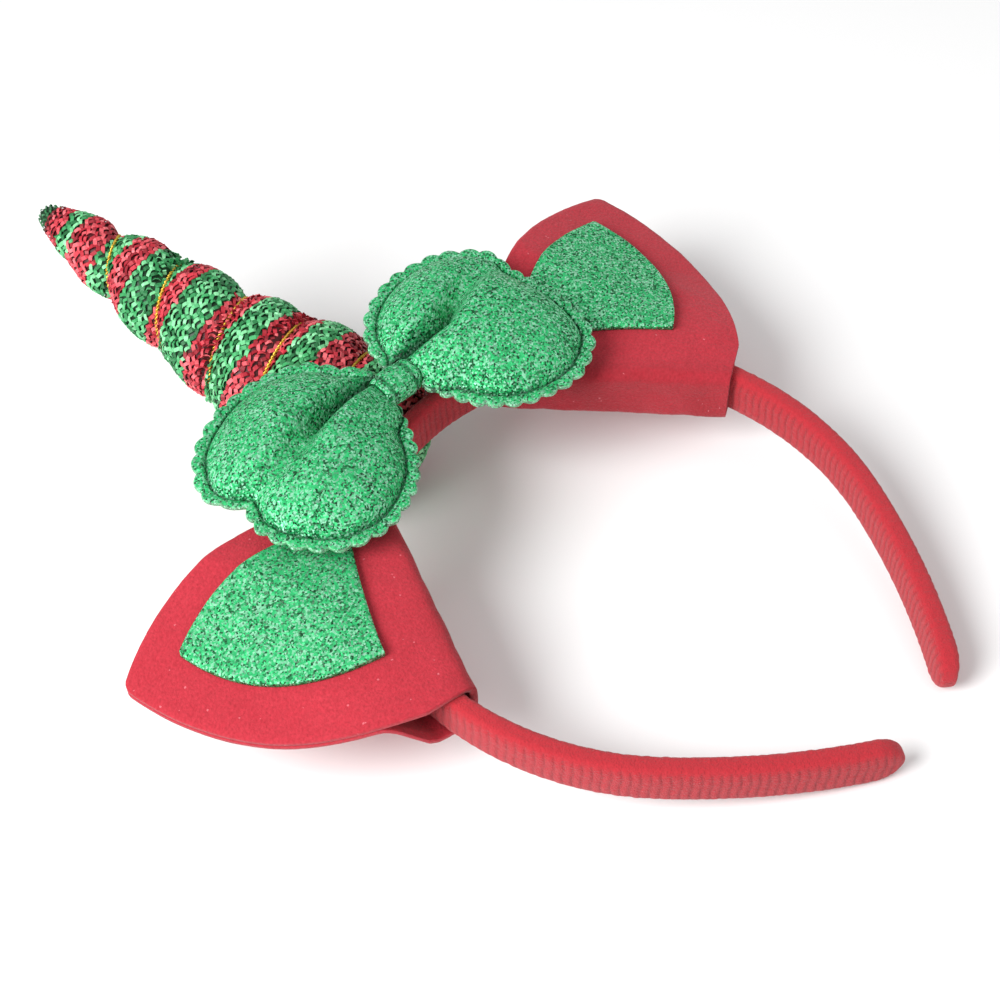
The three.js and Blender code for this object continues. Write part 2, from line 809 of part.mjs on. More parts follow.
addPiece('headband', bandBody(0), fleece);
const hornSolid = toSolid(hornBody()).subtract(toSolid(bandBody(gap)));
const horn = addPiece('horn', toGeometry(hornSolid), tinsel);
addPiece('horn_cord', cordBody(), gold);
const ear = earBody();
const patch = patchBody();
addPiece('ear_right', ear, felt);
addPiece('ear_left', mirrored(ear), felt);
addPiece('ear_patch_right', patch, glitter);
addPiece('ear_patch_left', mirrored(patch), glitter);
addPiece('bow', bowBody(), glitter);
addPiece('bow_knot', knotBody(), glitter);

// Lying down, the piece rests on the underside of the horn and on the two ends of the band

function restAngle() {
  const end = bandPoint(bandHalfLength);
  const spot = horn.geometry.getAttribute('position');
  let lowest = 0;
  for (let k = 0; k < spot.count; k += 1) {
    const slope = Math.atan2(spot.getZ(k) + restFlat, spot.getY(k) - end.y);
    lowest = Math.min(lowest, slope);
  }
  return -lowest;
}

function layDown() {
  const laid = new THREE.Group();
  worn.rotation.x = restAngle();
  laid.add(worn);
  laid.updateMatrixWorld(true);
  const bandBox = new THREE.Box3().setFromObject(worn.getObjectByName('headband'), true);
  const box = new THREE.Box3().setFromObject(worn, true);
  worn.position.set(0, -(box.min.y + box.max.y) / 2, -bandBox.min.z);
  laid.updateMatrixWorld(true);
  flattenBelow(horn, 0);
  return laid;
}

function flattenBelow(mesh, floor) {
  const solid = toSolid(mesh.geometry.clone().applyMatrix4(mesh.matrixWorld));
  const reach = 2 * (hornLength + bandHalfLength);
  const under = blockBody(new THREE.Vector3(-reach, -reach, -reach), new THREE.Vector3(reach, reach, floor));
  const cut = toGeometry(solid.subtract(toSolid(under)));
  mesh.geometry = cut.applyMatrix4(mesh.matrixWorld.clone().invert());
}

export default layDown();
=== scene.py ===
import math

import bpy
import numpy as np
from mathutils import Matrix, Vector


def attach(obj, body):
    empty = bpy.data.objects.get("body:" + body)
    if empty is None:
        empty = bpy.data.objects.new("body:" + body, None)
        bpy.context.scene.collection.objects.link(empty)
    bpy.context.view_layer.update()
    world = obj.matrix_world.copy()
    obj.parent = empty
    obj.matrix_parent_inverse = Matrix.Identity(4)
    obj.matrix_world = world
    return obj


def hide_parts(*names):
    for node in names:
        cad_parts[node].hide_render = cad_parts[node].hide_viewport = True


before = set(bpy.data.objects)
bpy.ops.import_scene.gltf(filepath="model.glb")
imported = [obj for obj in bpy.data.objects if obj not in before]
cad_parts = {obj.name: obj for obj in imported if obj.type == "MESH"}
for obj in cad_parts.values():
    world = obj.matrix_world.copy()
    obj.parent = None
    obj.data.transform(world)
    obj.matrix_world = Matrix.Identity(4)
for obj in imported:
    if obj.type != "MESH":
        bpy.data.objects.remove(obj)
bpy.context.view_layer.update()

# Unicorn headpiece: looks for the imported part. Pieces are made as worn, in millimetres
# (X to the side, Y up, Z forward), and lie() puts them where the part lies, in metres.

rng = np.random.default_rng(7)

# How the worn part is turned about X, and then moved, to lie on the surface
REST_ANGLE = 0.17170736688437802
REST_SHIFT = (0.0, 10.802697348958581, 23.520611316372005)

# The camera that matches the photo, in worn millimetres
CAMERA_SPOT = (-220.35853457, -188.91969727, 356.92423266)
CAMERA_AHEAD = (0.48885755, 0.35970494, -0.79475195)
CAMERA_ROLL = -0.0187304
CAMERA_LENS = 65.546

GAP = 0.3
# The lowest that a point lies over the surface, and metres that the floor lies under it
SURFACE_GAP, FLOOR_DROP = 0.02, 0.0002

# Headband: width and thickness of the covered strip, radius of its crown, half its length
STRIP_WIDTH, STRIP_THICK, CROWN, HALF = 12.4, 5.4, 58.4, 192.2
TIP_ROUNDING = 7.0
RIB_PITCH, SECTION_POWER = 2.1, 0.55
# Arcs of each leg: the share of the half length where one ends, and its radius in crowns
BAND_ARCS = ((0.4163, 1.0), (0.7182, 1.281), (1.0, 3.176))

# Horn: the groove fades out at a share of its height, and the foot is tucked in at the back
HORN_LENGTH, HORN_RADIUS, GROOVE_DEPTH, GROOVE_FADE = 127.5, 22.6, 4.4, 0.86
HORN_DROP, HORN_SET_BACK, FOOT_TUCK, FOOT_TUCK_HEIGHT = 2.4, 15.9, 0.3, 6
HORN_LEAN = math.radians(10.44)
HORN_AXIS = np.array((0, math.cos(HORN_LEAN), math.sin(HORN_LEAN)))
HORN_FRONT = np.array((0, -math.sin(HORN_LEAN), math.cos(HORN_LEAN)))
HORN_FOOT = np.array((0, STRIP_THICK / 2 - HORN_DROP, STRIP_WIDTH / 2 - HORN_SET_BACK))
# Share of the horn's height, and the radius there as a share of the widest one
TAPER = np.array(((0, 0), (0.005, 0.16), (0.014, 0.38), (0.027, 0.58), (0.045, 0.76), (0.07, 0.91), (0.12, 0.97),
                  (0.2, 0.98), (0.314, 0.885), (0.47, 0.705), (0.55, 0.635), (0.627, 0.585), (0.7, 0.52),
                  (0.784, 0.44), (0.85, 0.37), (0.9, 0.295), (0.965, 0.17), (0.99, 0.105), (1, 0)))
# Turn of the cord, and the share of the horn's height where it is at the front
TURNS = np.array(((0, .03), (1, .19), (2, .347), (3, .478), (4, .645), (5, .796), (6, .94), (7, 1.08)))
CORD_DIAMETER, CORD_FIRST, CORD_LAST, CORD_LIFT = 1.2, 1.0, 5.45, 0.35
STITCH_ROW, STITCH_PITCH, STITCH_THICK, STITCH_RAISED = 1.36, 1.75, 0.22, 1.45
# Height on the horn where each knitted ring ends: green and red in turn, green first
RING_ENDS = (5, 14, 23, 33, 41, 49, 57.5, 64.5, 74.5, 80.5, 89.5, 97, 103, 112, 117, 123, 130)
DARK_TIP = 122

FELT = 1.6
# Ears: where the fold begins and ends along the strip, the reach from fold to tip, and the tip
EAR_LOW, EAR_HIGH, EAR_REACH, EAR_TIP_SHIFT, EAR_TIP_WIDTH = 92.0, 27.0, 71.0, 6.0, 1.8
EAR_TIP_HEIGHT, EAR_JOIN, EAR_BEND = 6.8, 15.0, 2.8
# How far the ear's edge reaches past each end of the fold, where it leaves it, how much it bulges
EAR_PAST_LOW, EAR_PAST_HIGH, EAR_LOW_OUT, EAR_HIGH_OUT, EAR_BULGES = 2.4, 2.8, 12.3, 9.7, (8.6, 9.2)
# Patch: corners along and out from the fold, and how much its two sides and its base bulge
PATCH_LOW, PATCH_TIP, PATCH_HIGH, PATCH_BULGES = (14.4, 15.7), (35.7, 57.7), (52.1, 11.0), (7.2, 6.3, 0.9)
PATCH_THICK = 1.6

# Bow: how it is turned, its middle as worn, and the height of its border's middle plane
BOW_TURN = math.radians(-8.3)
BOW_CENTRE, BOW_HEIGHT = (0.5, 1.5), 20.4
LOOP_RADIUS, LOOP_REACH, LOOP_FRONT, LOOP_BACK = 29.8, 27.0, 9.5, 5.0
BORDER, BORDER_THICK, SCALLOPS, SCALLOP_DEPTH, VALLEY = 3.8, 1.2, 34, 1.3, 4.5
OUTLINE_START = -187
# Outline of each loop round its own centre: degrees, reach as a share of the loop radius
OUTLINE = {
    1: np.array(((-187, .86), (-178, .8), (-166, .775), (-153, .775), (-140, .8), (-119, .867), (-96, .913),
                 (-75, .96), (-52, .955), (-38, .883), (-26, .819), (-13, .78), (4, .748), (20, .755), (30, .82),
                 (37, .91), (48, .97), (66, 1.015), (95, 1.022), (124, 1.025), (140, 1), (152, .953), (163, .9),
                 (173, .86))),
    -1: np.array(((-187, .86), (-175, .77), (-157, .725), (-142, .738), (-127, .775), (-102, .85), (-78, .94),
                  (-60, .967), (-42, .957), (-23, .937), (-12, .92), (-5, .868), (4, .815), (9, .885), (15, .985),
                  (24, 1.055), (45, 1.06), (64, 1.02), (82, 1.01), (111, 1.005), (125, .985), (139, .925),
                  (155, .945), (173, .86))),
}
# Line of the valley in each loop: share of the loop's length, millimetres up
VALLEY_LINE = {
    1: np.array(((0, 8.8), (.24, 6.9), (.36, 6.4), (.57, 10.5), (.7, 12.3), (1, 10))),
    -1: np.array(((0, 8.8), (.46, 4.8), (.61, 2.3), (.87, .7), (1, -1.5))),
}
KNOT_WIDTH, KNOT_RISE, KNOT_ACROSS, KNOT_DEEP, KNOT_THICK = 11.0, 3.6, 4.8, 4.4, 1.4


def lie(points):
    """Worn millimetres to the lying part's metres."""
    p = np.asarray(points, float).reshape(-1, 3)
    c, s = math.cos(REST_ANGLE), math.sin(REST_ANGLE)
    return np.stack((p[:, 0] + REST_SHIFT[0], c * p[:, 1] - s * p[:, 2] + REST_SHIFT[1],
                     s * p[:, 1] + c * p[:, 2] + REST_SHIFT[2]), 1) / 1000


def above_surface(points):
    """Worn points, with those that would reach below the surface lifted onto it."""
    c, s = math.cos(REST_ANGLE), math.sin(REST_ANGLE)
    lift = np.maximum(0, SURFACE_GAP - (s * points[..., 1] + c * points[..., 2] + REST_SHIFT[2]))
    return points + lift[..., None] * np.array((0, s, c))


def smooth(x, low, high):
    """From 0 at low to 1 at high, eased at both ends."""
    t = np.clip((x - low) / (high - low), 0, 1)
    return t * t * (3 - 2 * t)


def ripple(points, size, seed, waves=9):
    """Smooth random bumps about size across, from -1 to 1."""
    local = np.random.default_rng(seed)
    p = np.asarray(points, float)
    total = np.zeros(p.shape[:-1])
    for _ in range(waves):
        way = local.normal(size=3)
        way /= np.linalg.norm(way)
        total += np.sin(p @ way * (2 * math.pi / (size * local.uniform(1.2, 2.6))) + local.uniform(0, 7))
    return total / math.sqrt(waves) / 1.3


def to_linear(r, g, b):
    return tuple(((c / 255 + 0.055) / 1.055) ** 2.4 if c > 10 else c / 255 / 12.92 for c in (r, g, b))


# Meshes

def grid_faces(rows, columns, wrap=False, start=0):
    """Quads of a grid of points, rows by columns; wrap joins the last column to the first."""
    i, j = np.meshgrid(np.arange(rows - 1), np.arange(columns if wrap else columns - 1), indexing="ij")
    k = (j + 1) % columns
    a, b, c, d = i * columns + j, i * columns + k, (i + 1) * columns + k, (i + 1) * columns + j
    return np.stack((a, b, c, d), -1).reshape(-1, 4) + start


def add_mesh(name, points, quads, triangles=(), smooth_faces=True, laid=True):
    """One closed mesh, with its faces turned outward; laid points are worn millimetres."""
    quads = np.asarray(quads, int).reshape(-1, 4)
    triangles = np.asarray(triangles, int).reshape(-1, 3)
    data = bpy.data.meshes.new(name)
    spots = lie(points) if laid else np.asarray(points, float)
    data.vertices.add(len(spots))
    data.vertices.foreach_set("co", spots.astype(np.float32).ravel())
    data.loops.add(quads.size + triangles.size)
    data.loops.foreach_set("vertex_index", np.concatenate((quads.ravel(), triangles.ravel())).astype(np.int32))
    data.polygons.add(len(quads) + len(triangles))
    starts = np.concatenate((np.arange(len(quads)) * 4, quads.size + np.arange(len(triangles)) * 3))
    data.polygons.foreach_set("loop_start", starts.astype(np.int32))
    data.polygons.foreach_set("use_smooth", np.full(len(starts), smooth_faces))
    data.update(calc_edges=True)
    data.validate()
    corner = spots[np.concatenate((quads[:, :3], quads[:, [0, 2, 3]], triangles))]
    volume = np.einsum("ij,ij->i", corner[:, 0], np.cross(corner[:, 1], corner[:, 2])).sum()
    if volume < 0:
        data.flip_normals()
    piece = bpy.data.objects.new(name, data)
    bpy.context.scene.collection.objects.link(piece)
    return piece


def value(piece, name, numbers):
    """One number for each point, for the material to read."""
    layer = piece.data.attributes.new(name, "FLOAT", "POINT")
    layer.data.foreach_set("value", np.asarray(numbers, np.float32).ravel())


def paint(piece, colours):
    """One colour for each point, for the material to read."""
    layer = piece.data.color_attributes.new("tint", "FLOAT_COLOR", "POINT")
    full = np.concatenate((colours, np.ones((len(colours), 1))), 1)
    layer.data.foreach_set("color", full.astype(np.float32).ravel())


def swept(rings, start=0):
    """Closed tube: rings is rows x sides x 3, with a hub at each end."""
    rows, sides, _ = rings.shape
    points = np.concatenate((rings.reshape(-1, 3), rings[:1].mean(1), rings[-1:].mean(1)))
    side = np.arange(sides)
    nxt = (side + 1) % sides
    first, last = rows * sides, rows * sides + 1
    caps = np.concatenate((np.stack((nxt, side, np.full(sides, first)), 1),
                           np.stack(((rows - 1) * sides + side, (rows - 1) * sides + nxt, np.full(sides, last)), 1)))
    return points, grid_faces(rows, sides, True) + start, caps + start


def two_skins(outer, inner):
    """Closed sheet between two skins, each rows x columns x 3."""
    rows, columns, _ = outer.shape
    count = rows * columns
    quads = [grid_faces(rows, columns), grid_faces(rows, columns)[:, ::-1] + count]
    border = np.concatenate((np.arange(columns), (np.arange(1, rows) + 1) * columns - 1,
                             (rows - 1) * columns + np.arange(columns - 2, -1, -1),
                             np.arange(rows - 2, 0, -1) * columns))
    nxt = np.roll(border, -1)
    quads.append(np.stack((nxt, border, border + count, nxt + count), 1))
    return np.concatenate((outer.reshape(-1, 3), inner.reshape(-1, 3))), np.concatenate(quads)


def area_of(skin):
    """Area of a skin of rows x columns x 3 points."""
    down, across = np.diff(skin, axis=0)[:, :-1], np.diff(skin, axis=1)[:-1]
    return np.linalg.norm(np.cross(down, across), axis=-1).sum()


# Materials

class Nodes:
    """A procedural material, node by node."""

    def __init__(self, name):
        self.material = bpy.data.materials.new(name)
        self.material.use_nodes = True
        self.tree = self.material.node_tree
        self.shader = next(n for n in self.tree.nodes if n.type == "BSDF_PRINCIPLED")

    def add(self, kind, settings=(), **inputs):
        """A node, with its inputs given by name, or by number as i0, i1 and so on."""
        node = self.tree.nodes.new(kind)
        for key, setting in dict(settings).items():
            setattr(node, key, setting)
        for key, given in inputs.items():
            socket = node.inputs[int(key[1:])] if key[0] == "i" and key[1:].isdigit() else node.inputs[key]
            self.set(socket, given)
        return node

    def set(self, socket, given):
        if isinstance(given, bpy.types.NodeSocket):
            self.tree.links.new(given, socket)
        else:
            socket.default_value = given

    def spot(self):
        return self.add("ShaderNodeTexCoord").outputs["Object"]

    def noise(self, size, detail=2.0, distortion=0.0):
        return self.add("ShaderNodeTexNoise", i0=self.spot(), Scale=1000 / size, Detail=detail,
                        Distortion=distortion).outputs["Fac"]

    def cells(self, size):
        return self.add("ShaderNodeTexVoronoi", i0=self.spot(), Scale=1000 / size)

    def ramp(self, factor, *stops):
        node = self.add("ShaderNodeValToRGB", i0=factor)
        bar = node.color_ramp
        while len(bar.elements) < len(stops):
            bar.elements.new(0.5)
        for element, (place, colour) in zip(bar.elements, stops):
            element.position = place
            element.color = (*colour, 1)
        return node.outputs[0]

    def math(self, operation, a, b=0.0):
        return self.add("ShaderNodeMath", {"operation": operation}, i0=a, i1=b).outputs[0]

    def between(self, factor, a, b):
        node = self.add("ShaderNodeMix", {"data_type": "RGBA"}, i0=factor)
        self.set(node.inputs[6], a if isinstance(a, bpy.types.NodeSocket) else (*a, 1))
        self.set(node.inputs[7], b if isinstance(b, bpy.types.NodeSocket) else (*b, 1))
        return node.outputs[2]

    def bump(self, height, deep, normal=None):
        node = self.add("ShaderNodeBump", Strength=1.0, Distance=deep / 1000, Height=height)
        if normal is not None:
            self.set(node.inputs["Normal"], normal)
        return node.outputs[0]

    def read(self, name):
        return self.add("ShaderNodeAttribute", {"attribute_name": name})

    def finish(self, **inputs):
        for key, given in inputs.items():
            self.set(self.shader.inputs[key.replace("_", " ")], given)
        return self.material


def glitter_material(name, dark, middle, light, speck, tilt, edge=None):
    """Small flakes, each with its own colour and tilt, the lightest colours painted glints; with edge, the bow's pale
    rim, its dark seams and the painted shade of its valley folds too.
    """
    m = Nodes(name)
    cells = m.cells(speck)
    parts = m.add("ShaderNodeSeparateColor", i0=cells.outputs["Color"])
    # Each flake gets a colour from dark to light at random: the flakes' own mixed shades, with the light end as
    # painted glints.
    colour = m.ramp(parts.outputs[0], (0.1, dark), (0.42, middle), (0.6, middle), (0.92, light))
    shade = m.noise(9, 3)
    colour = m.between(m.math("MULTIPLY", shade, 0.22), colour, tuple(0.55 * c for c in middle))
    if edge is not None:
        colour = m.between(m.read("edge").outputs["Fac"], colour, edge)
        # Painted shade: dark along the loops' valley folds; the same value also holds the dark seam and stitched
        # lines.
        colour = m.between(m.read("dark_seams_and_fold_shade").outputs["Fac"], colour, tuple(0.2 * c for c in dark))
    way = m.add("ShaderNodeVectorMath", {"operation": "SUBTRACT"}, i0=cells.outputs["Color"], i1=(0.5, 0.5, 0.5))
    tilted = m.add("ShaderNodeVectorMath", {"operation": "SCALE"}, i0=way.outputs[0], Scale=tilt)
    base = m.bump(m.noise(2.2, 2), 0.25)
    total = m.add("ShaderNodeVectorMath", {"operation": "ADD"}, i0=base, i1=tilted.outputs[0])
    normal = m.add("ShaderNodeVectorMath", {"operation": "NORMALIZE"}, i0=total.outputs[0]).outputs[0]
    rough = m.add("ShaderNodeMapRange", i0=parts.outputs[1], i3=0.28, i4=0.6).outputs[0]
    return m.finish(Base_Color=colour, Roughness=rough, Metallic=0.3, Specular_IOR_Level=0.35, Normal=normal)


def felt_material():
    m = Nodes("felt")
    deep, light = to_linear(136, 12, 26), to_linear(212, 52, 70)
    colour = m.between(m.noise(0.7, 5), deep, light)
    colour = m.between(m.math("MULTIPLY", m.noise(14, 2), 0.5), colour, to_linear(160, 20, 36))
    # Painted shade: the felt is darker along each ear's fold round the strip, where the fold value is high.
    colour = m.between(m.math("MULTIPLY", m.read("fold").outputs["Fac"], 0.6), colour, to_linear(136, 14, 26))
    # Painted sparkle: rare pale specks in the felt stand in for glints.
    chance = m.add("ShaderNodeSeparateColor", i0=m.cells(0.4).outputs["Color"]).outputs[0]
    painted_sparkles = m.math("GREATER_THAN", chance, 0.9988)
    colour = m.between(m.math("MULTIPLY", painted_sparkles, 0.35), colour, to_linear(250, 150, 160))
    normal = m.bump(m.noise(0.6, 4), 0.3, m.bump(m.noise(5, 3), 0.3))
    rough = m.add("ShaderNodeMapRange", i0=m.noise(1.5), i3=0.82, i4=1.0).outputs[0]
    return m.finish(Base_Color=colour, Roughness=rough, Normal=normal, Sheen_Weight=0.1, Sheen_Roughness=0.5)


def fleece_material():
    m = Nodes("fleece")
    deep, light = to_linear(112, 8, 20), to_linear(192, 38, 50)
    rib = m.read("rib").outputs["Fac"]
    mottle = m.math("MULTIPLY", m.noise(0.5, 4), 0.5)
    # Painted shade in the grooves between the ribs, which come out darker; the seam line is darker too, and the
    # mottle is the fleece's own uneven tone.
    colour = m.between(m.math("ADD", m.math("MULTIPLY", rib, 0.5), mottle), deep, light)
    normal = m.bump(m.noise(0.4, 5, 0.4), 0.3, m.bump(m.noise(1.6, 3), 0.3))
    rough = m.add("ShaderNodeMapRange", i0=m.noise(1.2), i3=0.85, i4=1.0).outputs[0]
    return m.finish(Base_Color=colour, Roughness=rough, Normal=normal, Sheen_Weight=0.12, Sheen_Roughness=0.5)


def tinsel_material(name, darkening):
    m = Nodes(name)
    tint = m.read("tint").outputs["Color"]
    # Patches darkened towards black by noise: on the ground, with its dark tints, painted shade for the gaps between
    # the stitches; on the tape, uneven tone.
    colour = m.between(m.math("MULTIPLY", m.noise(0.5, 3), darkening), tint, (0.004, 0.004, 0.004))
    normal = m.bump(m.noise(0.35, 3), 0.06)
    rough = m.add("ShaderNodeMapRange", i0=m.noise(0.8), i3=0.38, i4=0.62).outputs[0]
    return m.finish(Base_Color=colour, Roughness=rough, Normal=normal, Metallic=0.1)


def gold_material():
    m = Nodes("gold")
    colour = m.between(m.noise(0.7, 3), to_linear(176, 120, 22), to_linear(246, 214, 90))
    normal = m.bump(m.noise(0.25, 3), 0.08)
    rough = m.add("ShaderNodeMapRange", i0=m.noise(0.5), i3=0.22, i4=0.45).outputs[0]
    return m.finish(Base_Color=colour, Roughness=rough, Normal=normal, Metallic=0.75)


def floor_material():
    m = Nodes("paper")
    normal = m.bump(m.noise(3, 2), 0.01)
    return m.finish(Base_Color=(0.87, 0.87, 0.87, 1), Roughness=0.9, Normal=normal)


def place(piece, material, slot, *nodes):
    """Gives a piece its material and its body, and hides the nodes that it stands for."""
    piece.data.materials.append(material)
    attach(piece, "root")
    if nodes:
        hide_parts(*nodes)


# Camera, floor and light

def make_stage():
    ahead = np.array(CAMERA_AHEAD)
    right = np.cross(ahead, (0, 0, 1))
    right /= np.linalg.norm(right)
    up = np.cross(right, ahead)
    c, s = math.cos(CAMERA_ROLL), math.sin(CAMERA_ROLL)
    right, up = c * right + s * up, -s * right + c * up
    origin = lie((0, 0, 0))[0]
    turned = [lie(1000 * v)[0] - origin for v in (right, up, -ahead)]
    pose = Matrix.Identity(4)
    for column, axis in enumerate(turned):
        for row in range(3):
            pose[row][column] = axis[row]
    pose.translation = Vector(lie(CAMERA_SPOT)[0])
    lens = bpy.data.cameras.new("camera")
    lens.lens, lens.sensor_width, lens.sensor_fit = CAMERA_LENS, 36, "AUTO"
    lens.clip_start, lens.clip_end = 0.01, 20
    camera = bpy.data.objects.new("camera", lens)
    camera.matrix_world = pose
    bpy.context.scene.collection.objects.link(camera)
    bpy.context.scene.camera = camera

    side = 3.0
    corners = ((-side, -side, 0), (side, -side, 0), (side, side, 0), (-side, side, 0))
    floor = add_mesh("floor", corners, ((0, 1, 2, 3),), laid=False)
    floor.location.z = -FLOOR_DROP
    floor.data.materials.append(floor_material())

    world = bpy.data.worlds.new("room")
    world.use_nodes = True
    sky = next(n for n in world.node_tree.nodes if n.type == "BACKGROUND")
    sky.inputs["Color"].default_value = (1, 1, 1, 1)
    sky.inputs["Strength"].default_value = 0.57
    bpy.context.scene.world = world
    lights = (("key", (-0.62, 0.12, 0.62), 0.6, 10.0), ("fill", (0.1, -0.75, 0.8), 0.9, 1.8))
    for name, spot, size, power in lights:
        light = bpy.data.lights.new(name, "AREA")
        light.shape, light.size, light.energy = "DISK", size, power
        lamp = bpy.data.objects.new(name, light)
        lamp.location = spot
        lamp.rotation_mode = "QUATERNION"
        lamp.rotation_quaternion = (-Vector(spot)).to_track_quat("-Z", "Y")
        bpy.context.scene.collection.objects.link(lamp)
    bpy.context.scene.view_settings.view_transform = "Standard"


# Headband

def band_point(length):
    """Middle of the strip at a length from its top, and the outward direction there."""
    far = np.abs(length)
    x, y, angle, start = 0.0, 0.0, np.zeros_like(far), 0.0
    for until, radius in BAND_ARCS:
        size = radius * CROWN
        end = until * HALF
        after = angle + np.clip(far - start, 0, end - start) / size
        x = x + size * (np.sin(after) - np.sin(angle))
        y = y + size * (np.cos(after) - np.cos(angle))
        angle, start = after, end
    side = np.where(length < 0, -1.0, 1.0)
    return side * x, y, side * np.sin(angle), np.cos(angle)


def make_headband():
    sides = 40
    ends = HALF - np.array((0, 0.02, 0.08, 0.18, 0.3, 0.45, 0.65))
    length = np.concatenate((-ends, np.linspace(-HALF + 0.85, HALF - 0.85, 1640), ends[::-1]))
    x, y, out_x, out_y = band_point(length)
    into = np.maximum(0, (np.abs(length) - HALF + TIP_ROUNDING) / TIP_ROUNDING)
    narrow = np.maximum(0.05, np.sqrt(np.maximum(0, 1 - into * into)))
    even = (np.arange(sides) + 0.5) / sides * 2 * math.pi
    angle = even - 0.22 * np.sin(4 * even) / 4
    out, front = (np.sign(v) * np.abs(v) ** SECTION_POWER for v in (np.cos(angle), np.sin(angle)))
    wobble = 0.25 * np.sin(length / 9.0) + 0.2 * np.sin(length / 3.7 + 2)
    across = front[None, :] * np.ones((len(length), 1))
    phase = (length[:, None] / RIB_PITCH + 0.10 * np.sin(5 * across + wobble[:, None])
             + 0.08 * np.sin(length[:, None] / 5))
    broad = 1 - smooth(np.abs(across), 0.7, 0.98)
    rib = 1 - broad * (1 - np.abs(np.sin(math.pi * phase)) ** 0.45)
    seam = np.exp(-((across - 0.1) / 0.07) ** 2) * (out[None, :] < 0)
    grow = -0.14 + 0.26 * rib - 0.3 * seam
    half_out = (STRIP_THICK / 2 + grow) * out[None, :] * (0.4 + 0.6 * narrow[:, None])
    half_front = (STRIP_WIDTH / 2 + 0.6 * grow) * across * narrow[:, None]
    rings = np.stack((x[:, None] + out_x[:, None] * half_out, y[:, None] + out_y[:, None] * half_out,
                      STRIP_WIDTH / 2 + half_front), -1)
    rings += 0.05 * ripple(rings, 1.2, 31)[..., None] * np.stack(
        (out_x[:, None] * out[None, :], out_y[:, None] * out[None, :], across), -1)
    points, quads, caps = swept(above_surface(rings))
    piece = add_mesh("headband_cover", points, quads, caps)
    # Rise and fall of the ribs, lowered along the seam; the fleece paints the low parts darker as painted shade
    # between the ribs.
    value(piece, "rib", np.concatenate(((rib * (1 - 0.8 * seam)).ravel(), (0.5, 0.5))))
    return piece


# Horn

def crest(height):
    """Radius of the horn between its grooves."""
    return HORN_RADIUS * np.interp(height / HORN_LENGTH, TAPER[:, 0], TAPER[:, 1])


def groove_height(turn):
    return HORN_LENGTH * np.interp(turn, TURNS[:, 0], TURNS[:, 1])


def groove_depth(height):
    share = height / HORN_LENGTH
    fade = smooth(1 - share, 1 - GROOVE_FADE - 0.06, 1 - GROOVE_FADE + 0.04)
    return GROOVE_DEPTH * fade * smooth(share, 0.04, 0.14) * np.minimum(1, crest(height) / 10)


def turn_height(turn):
    """Height of the groove's line at the front, which starts from the horn's foot."""
    height = groove_height(turn) - (1 - np.minimum(1, turn)) * groove_height(0)
    return np.where(turn < 0, 0, np.minimum(HORN_LENGTH, height))


TURN_TABLE = np.linspace(0, 7, 1401)


def horn_radius(height, angle):
    turn = np.interp(height, turn_height(TURN_TABLE), TURN_TABLE)
    bulge = np.abs(np.sin(math.pi * (turn - angle / (2 * math.pi)))) ** 0.6
    tucked = 1 - FOOT_TUCK * np.exp(-(height / FOOT_TUCK_HEIGHT) ** 2) * (1 - np.cos(angle)) / 2
    return np.maximum(0, crest(height) * tucked - groove_depth(height) * (1 - bulge))


def horn_point(height, angle, radius):
    return (HORN_FOOT + height[..., None] * HORN_AXIS + (np.sin(angle) * radius)[..., None] * np.array((1.0, 0, 0))
            + (np.cos(angle) * radius)[..., None] * HORN_FRONT)


def seat_on_band(points):
    """Lifts what would reach into the strip or below the surface."""
    p = points.copy()
    top = np.sqrt(np.maximum(0, (CROWN + STRIP_THICK / 2 + GAP) ** 2 - p[..., 0] ** 2)) - CROWN
    over = (p[..., 2] > -GAP) & (p[..., 2] < STRIP_WIDTH + GAP)
    p[..., 1] = np.where(over, np.maximum(p[..., 1], top), p[..., 1])
    return above_surface(p)


def ring_is_red(height):
    return np.searchsorted(RING_ENDS, np.clip(height, 0, RING_ENDS[-1] - 1)) % 2 == 1


def make_horn():
    sides = 150
    height = np.concatenate(((0, 0.2), np.linspace(0.5, 5, 14), np.linspace(5.5, 122, 190),
                             np.linspace(122.5, HORN_LENGTH, 16)))
    angle = np.arange(sides) / sides * 2 * math.pi
    h, a = np.meshgrid(height, angle, indexing="ij")
    rings = seat_on_band(horn_point(h, a, np.maximum(0.02, horn_radius(h, a) - 0.25)))
    points, quads, caps = swept(rings)
    piece = add_mesh("horn_cover", points, quads, caps)
    # Each ring's colour, kept dark on this ground under the stitches as painted shade for the gaps between them.
    red = ring_is_red(h)[..., None]
    tint = np.where(red, np.array(to_linear(92, 10, 20)), np.array(to_linear(8, 66, 30))).reshape(-1, 3)
    paint(piece, np.concatenate((tint, tint[:1], tint[-1:])))
    return piece


def unit(v):
    return v / np.maximum(1e-9, np.linalg.norm(v, axis=-1, keepdims=True))


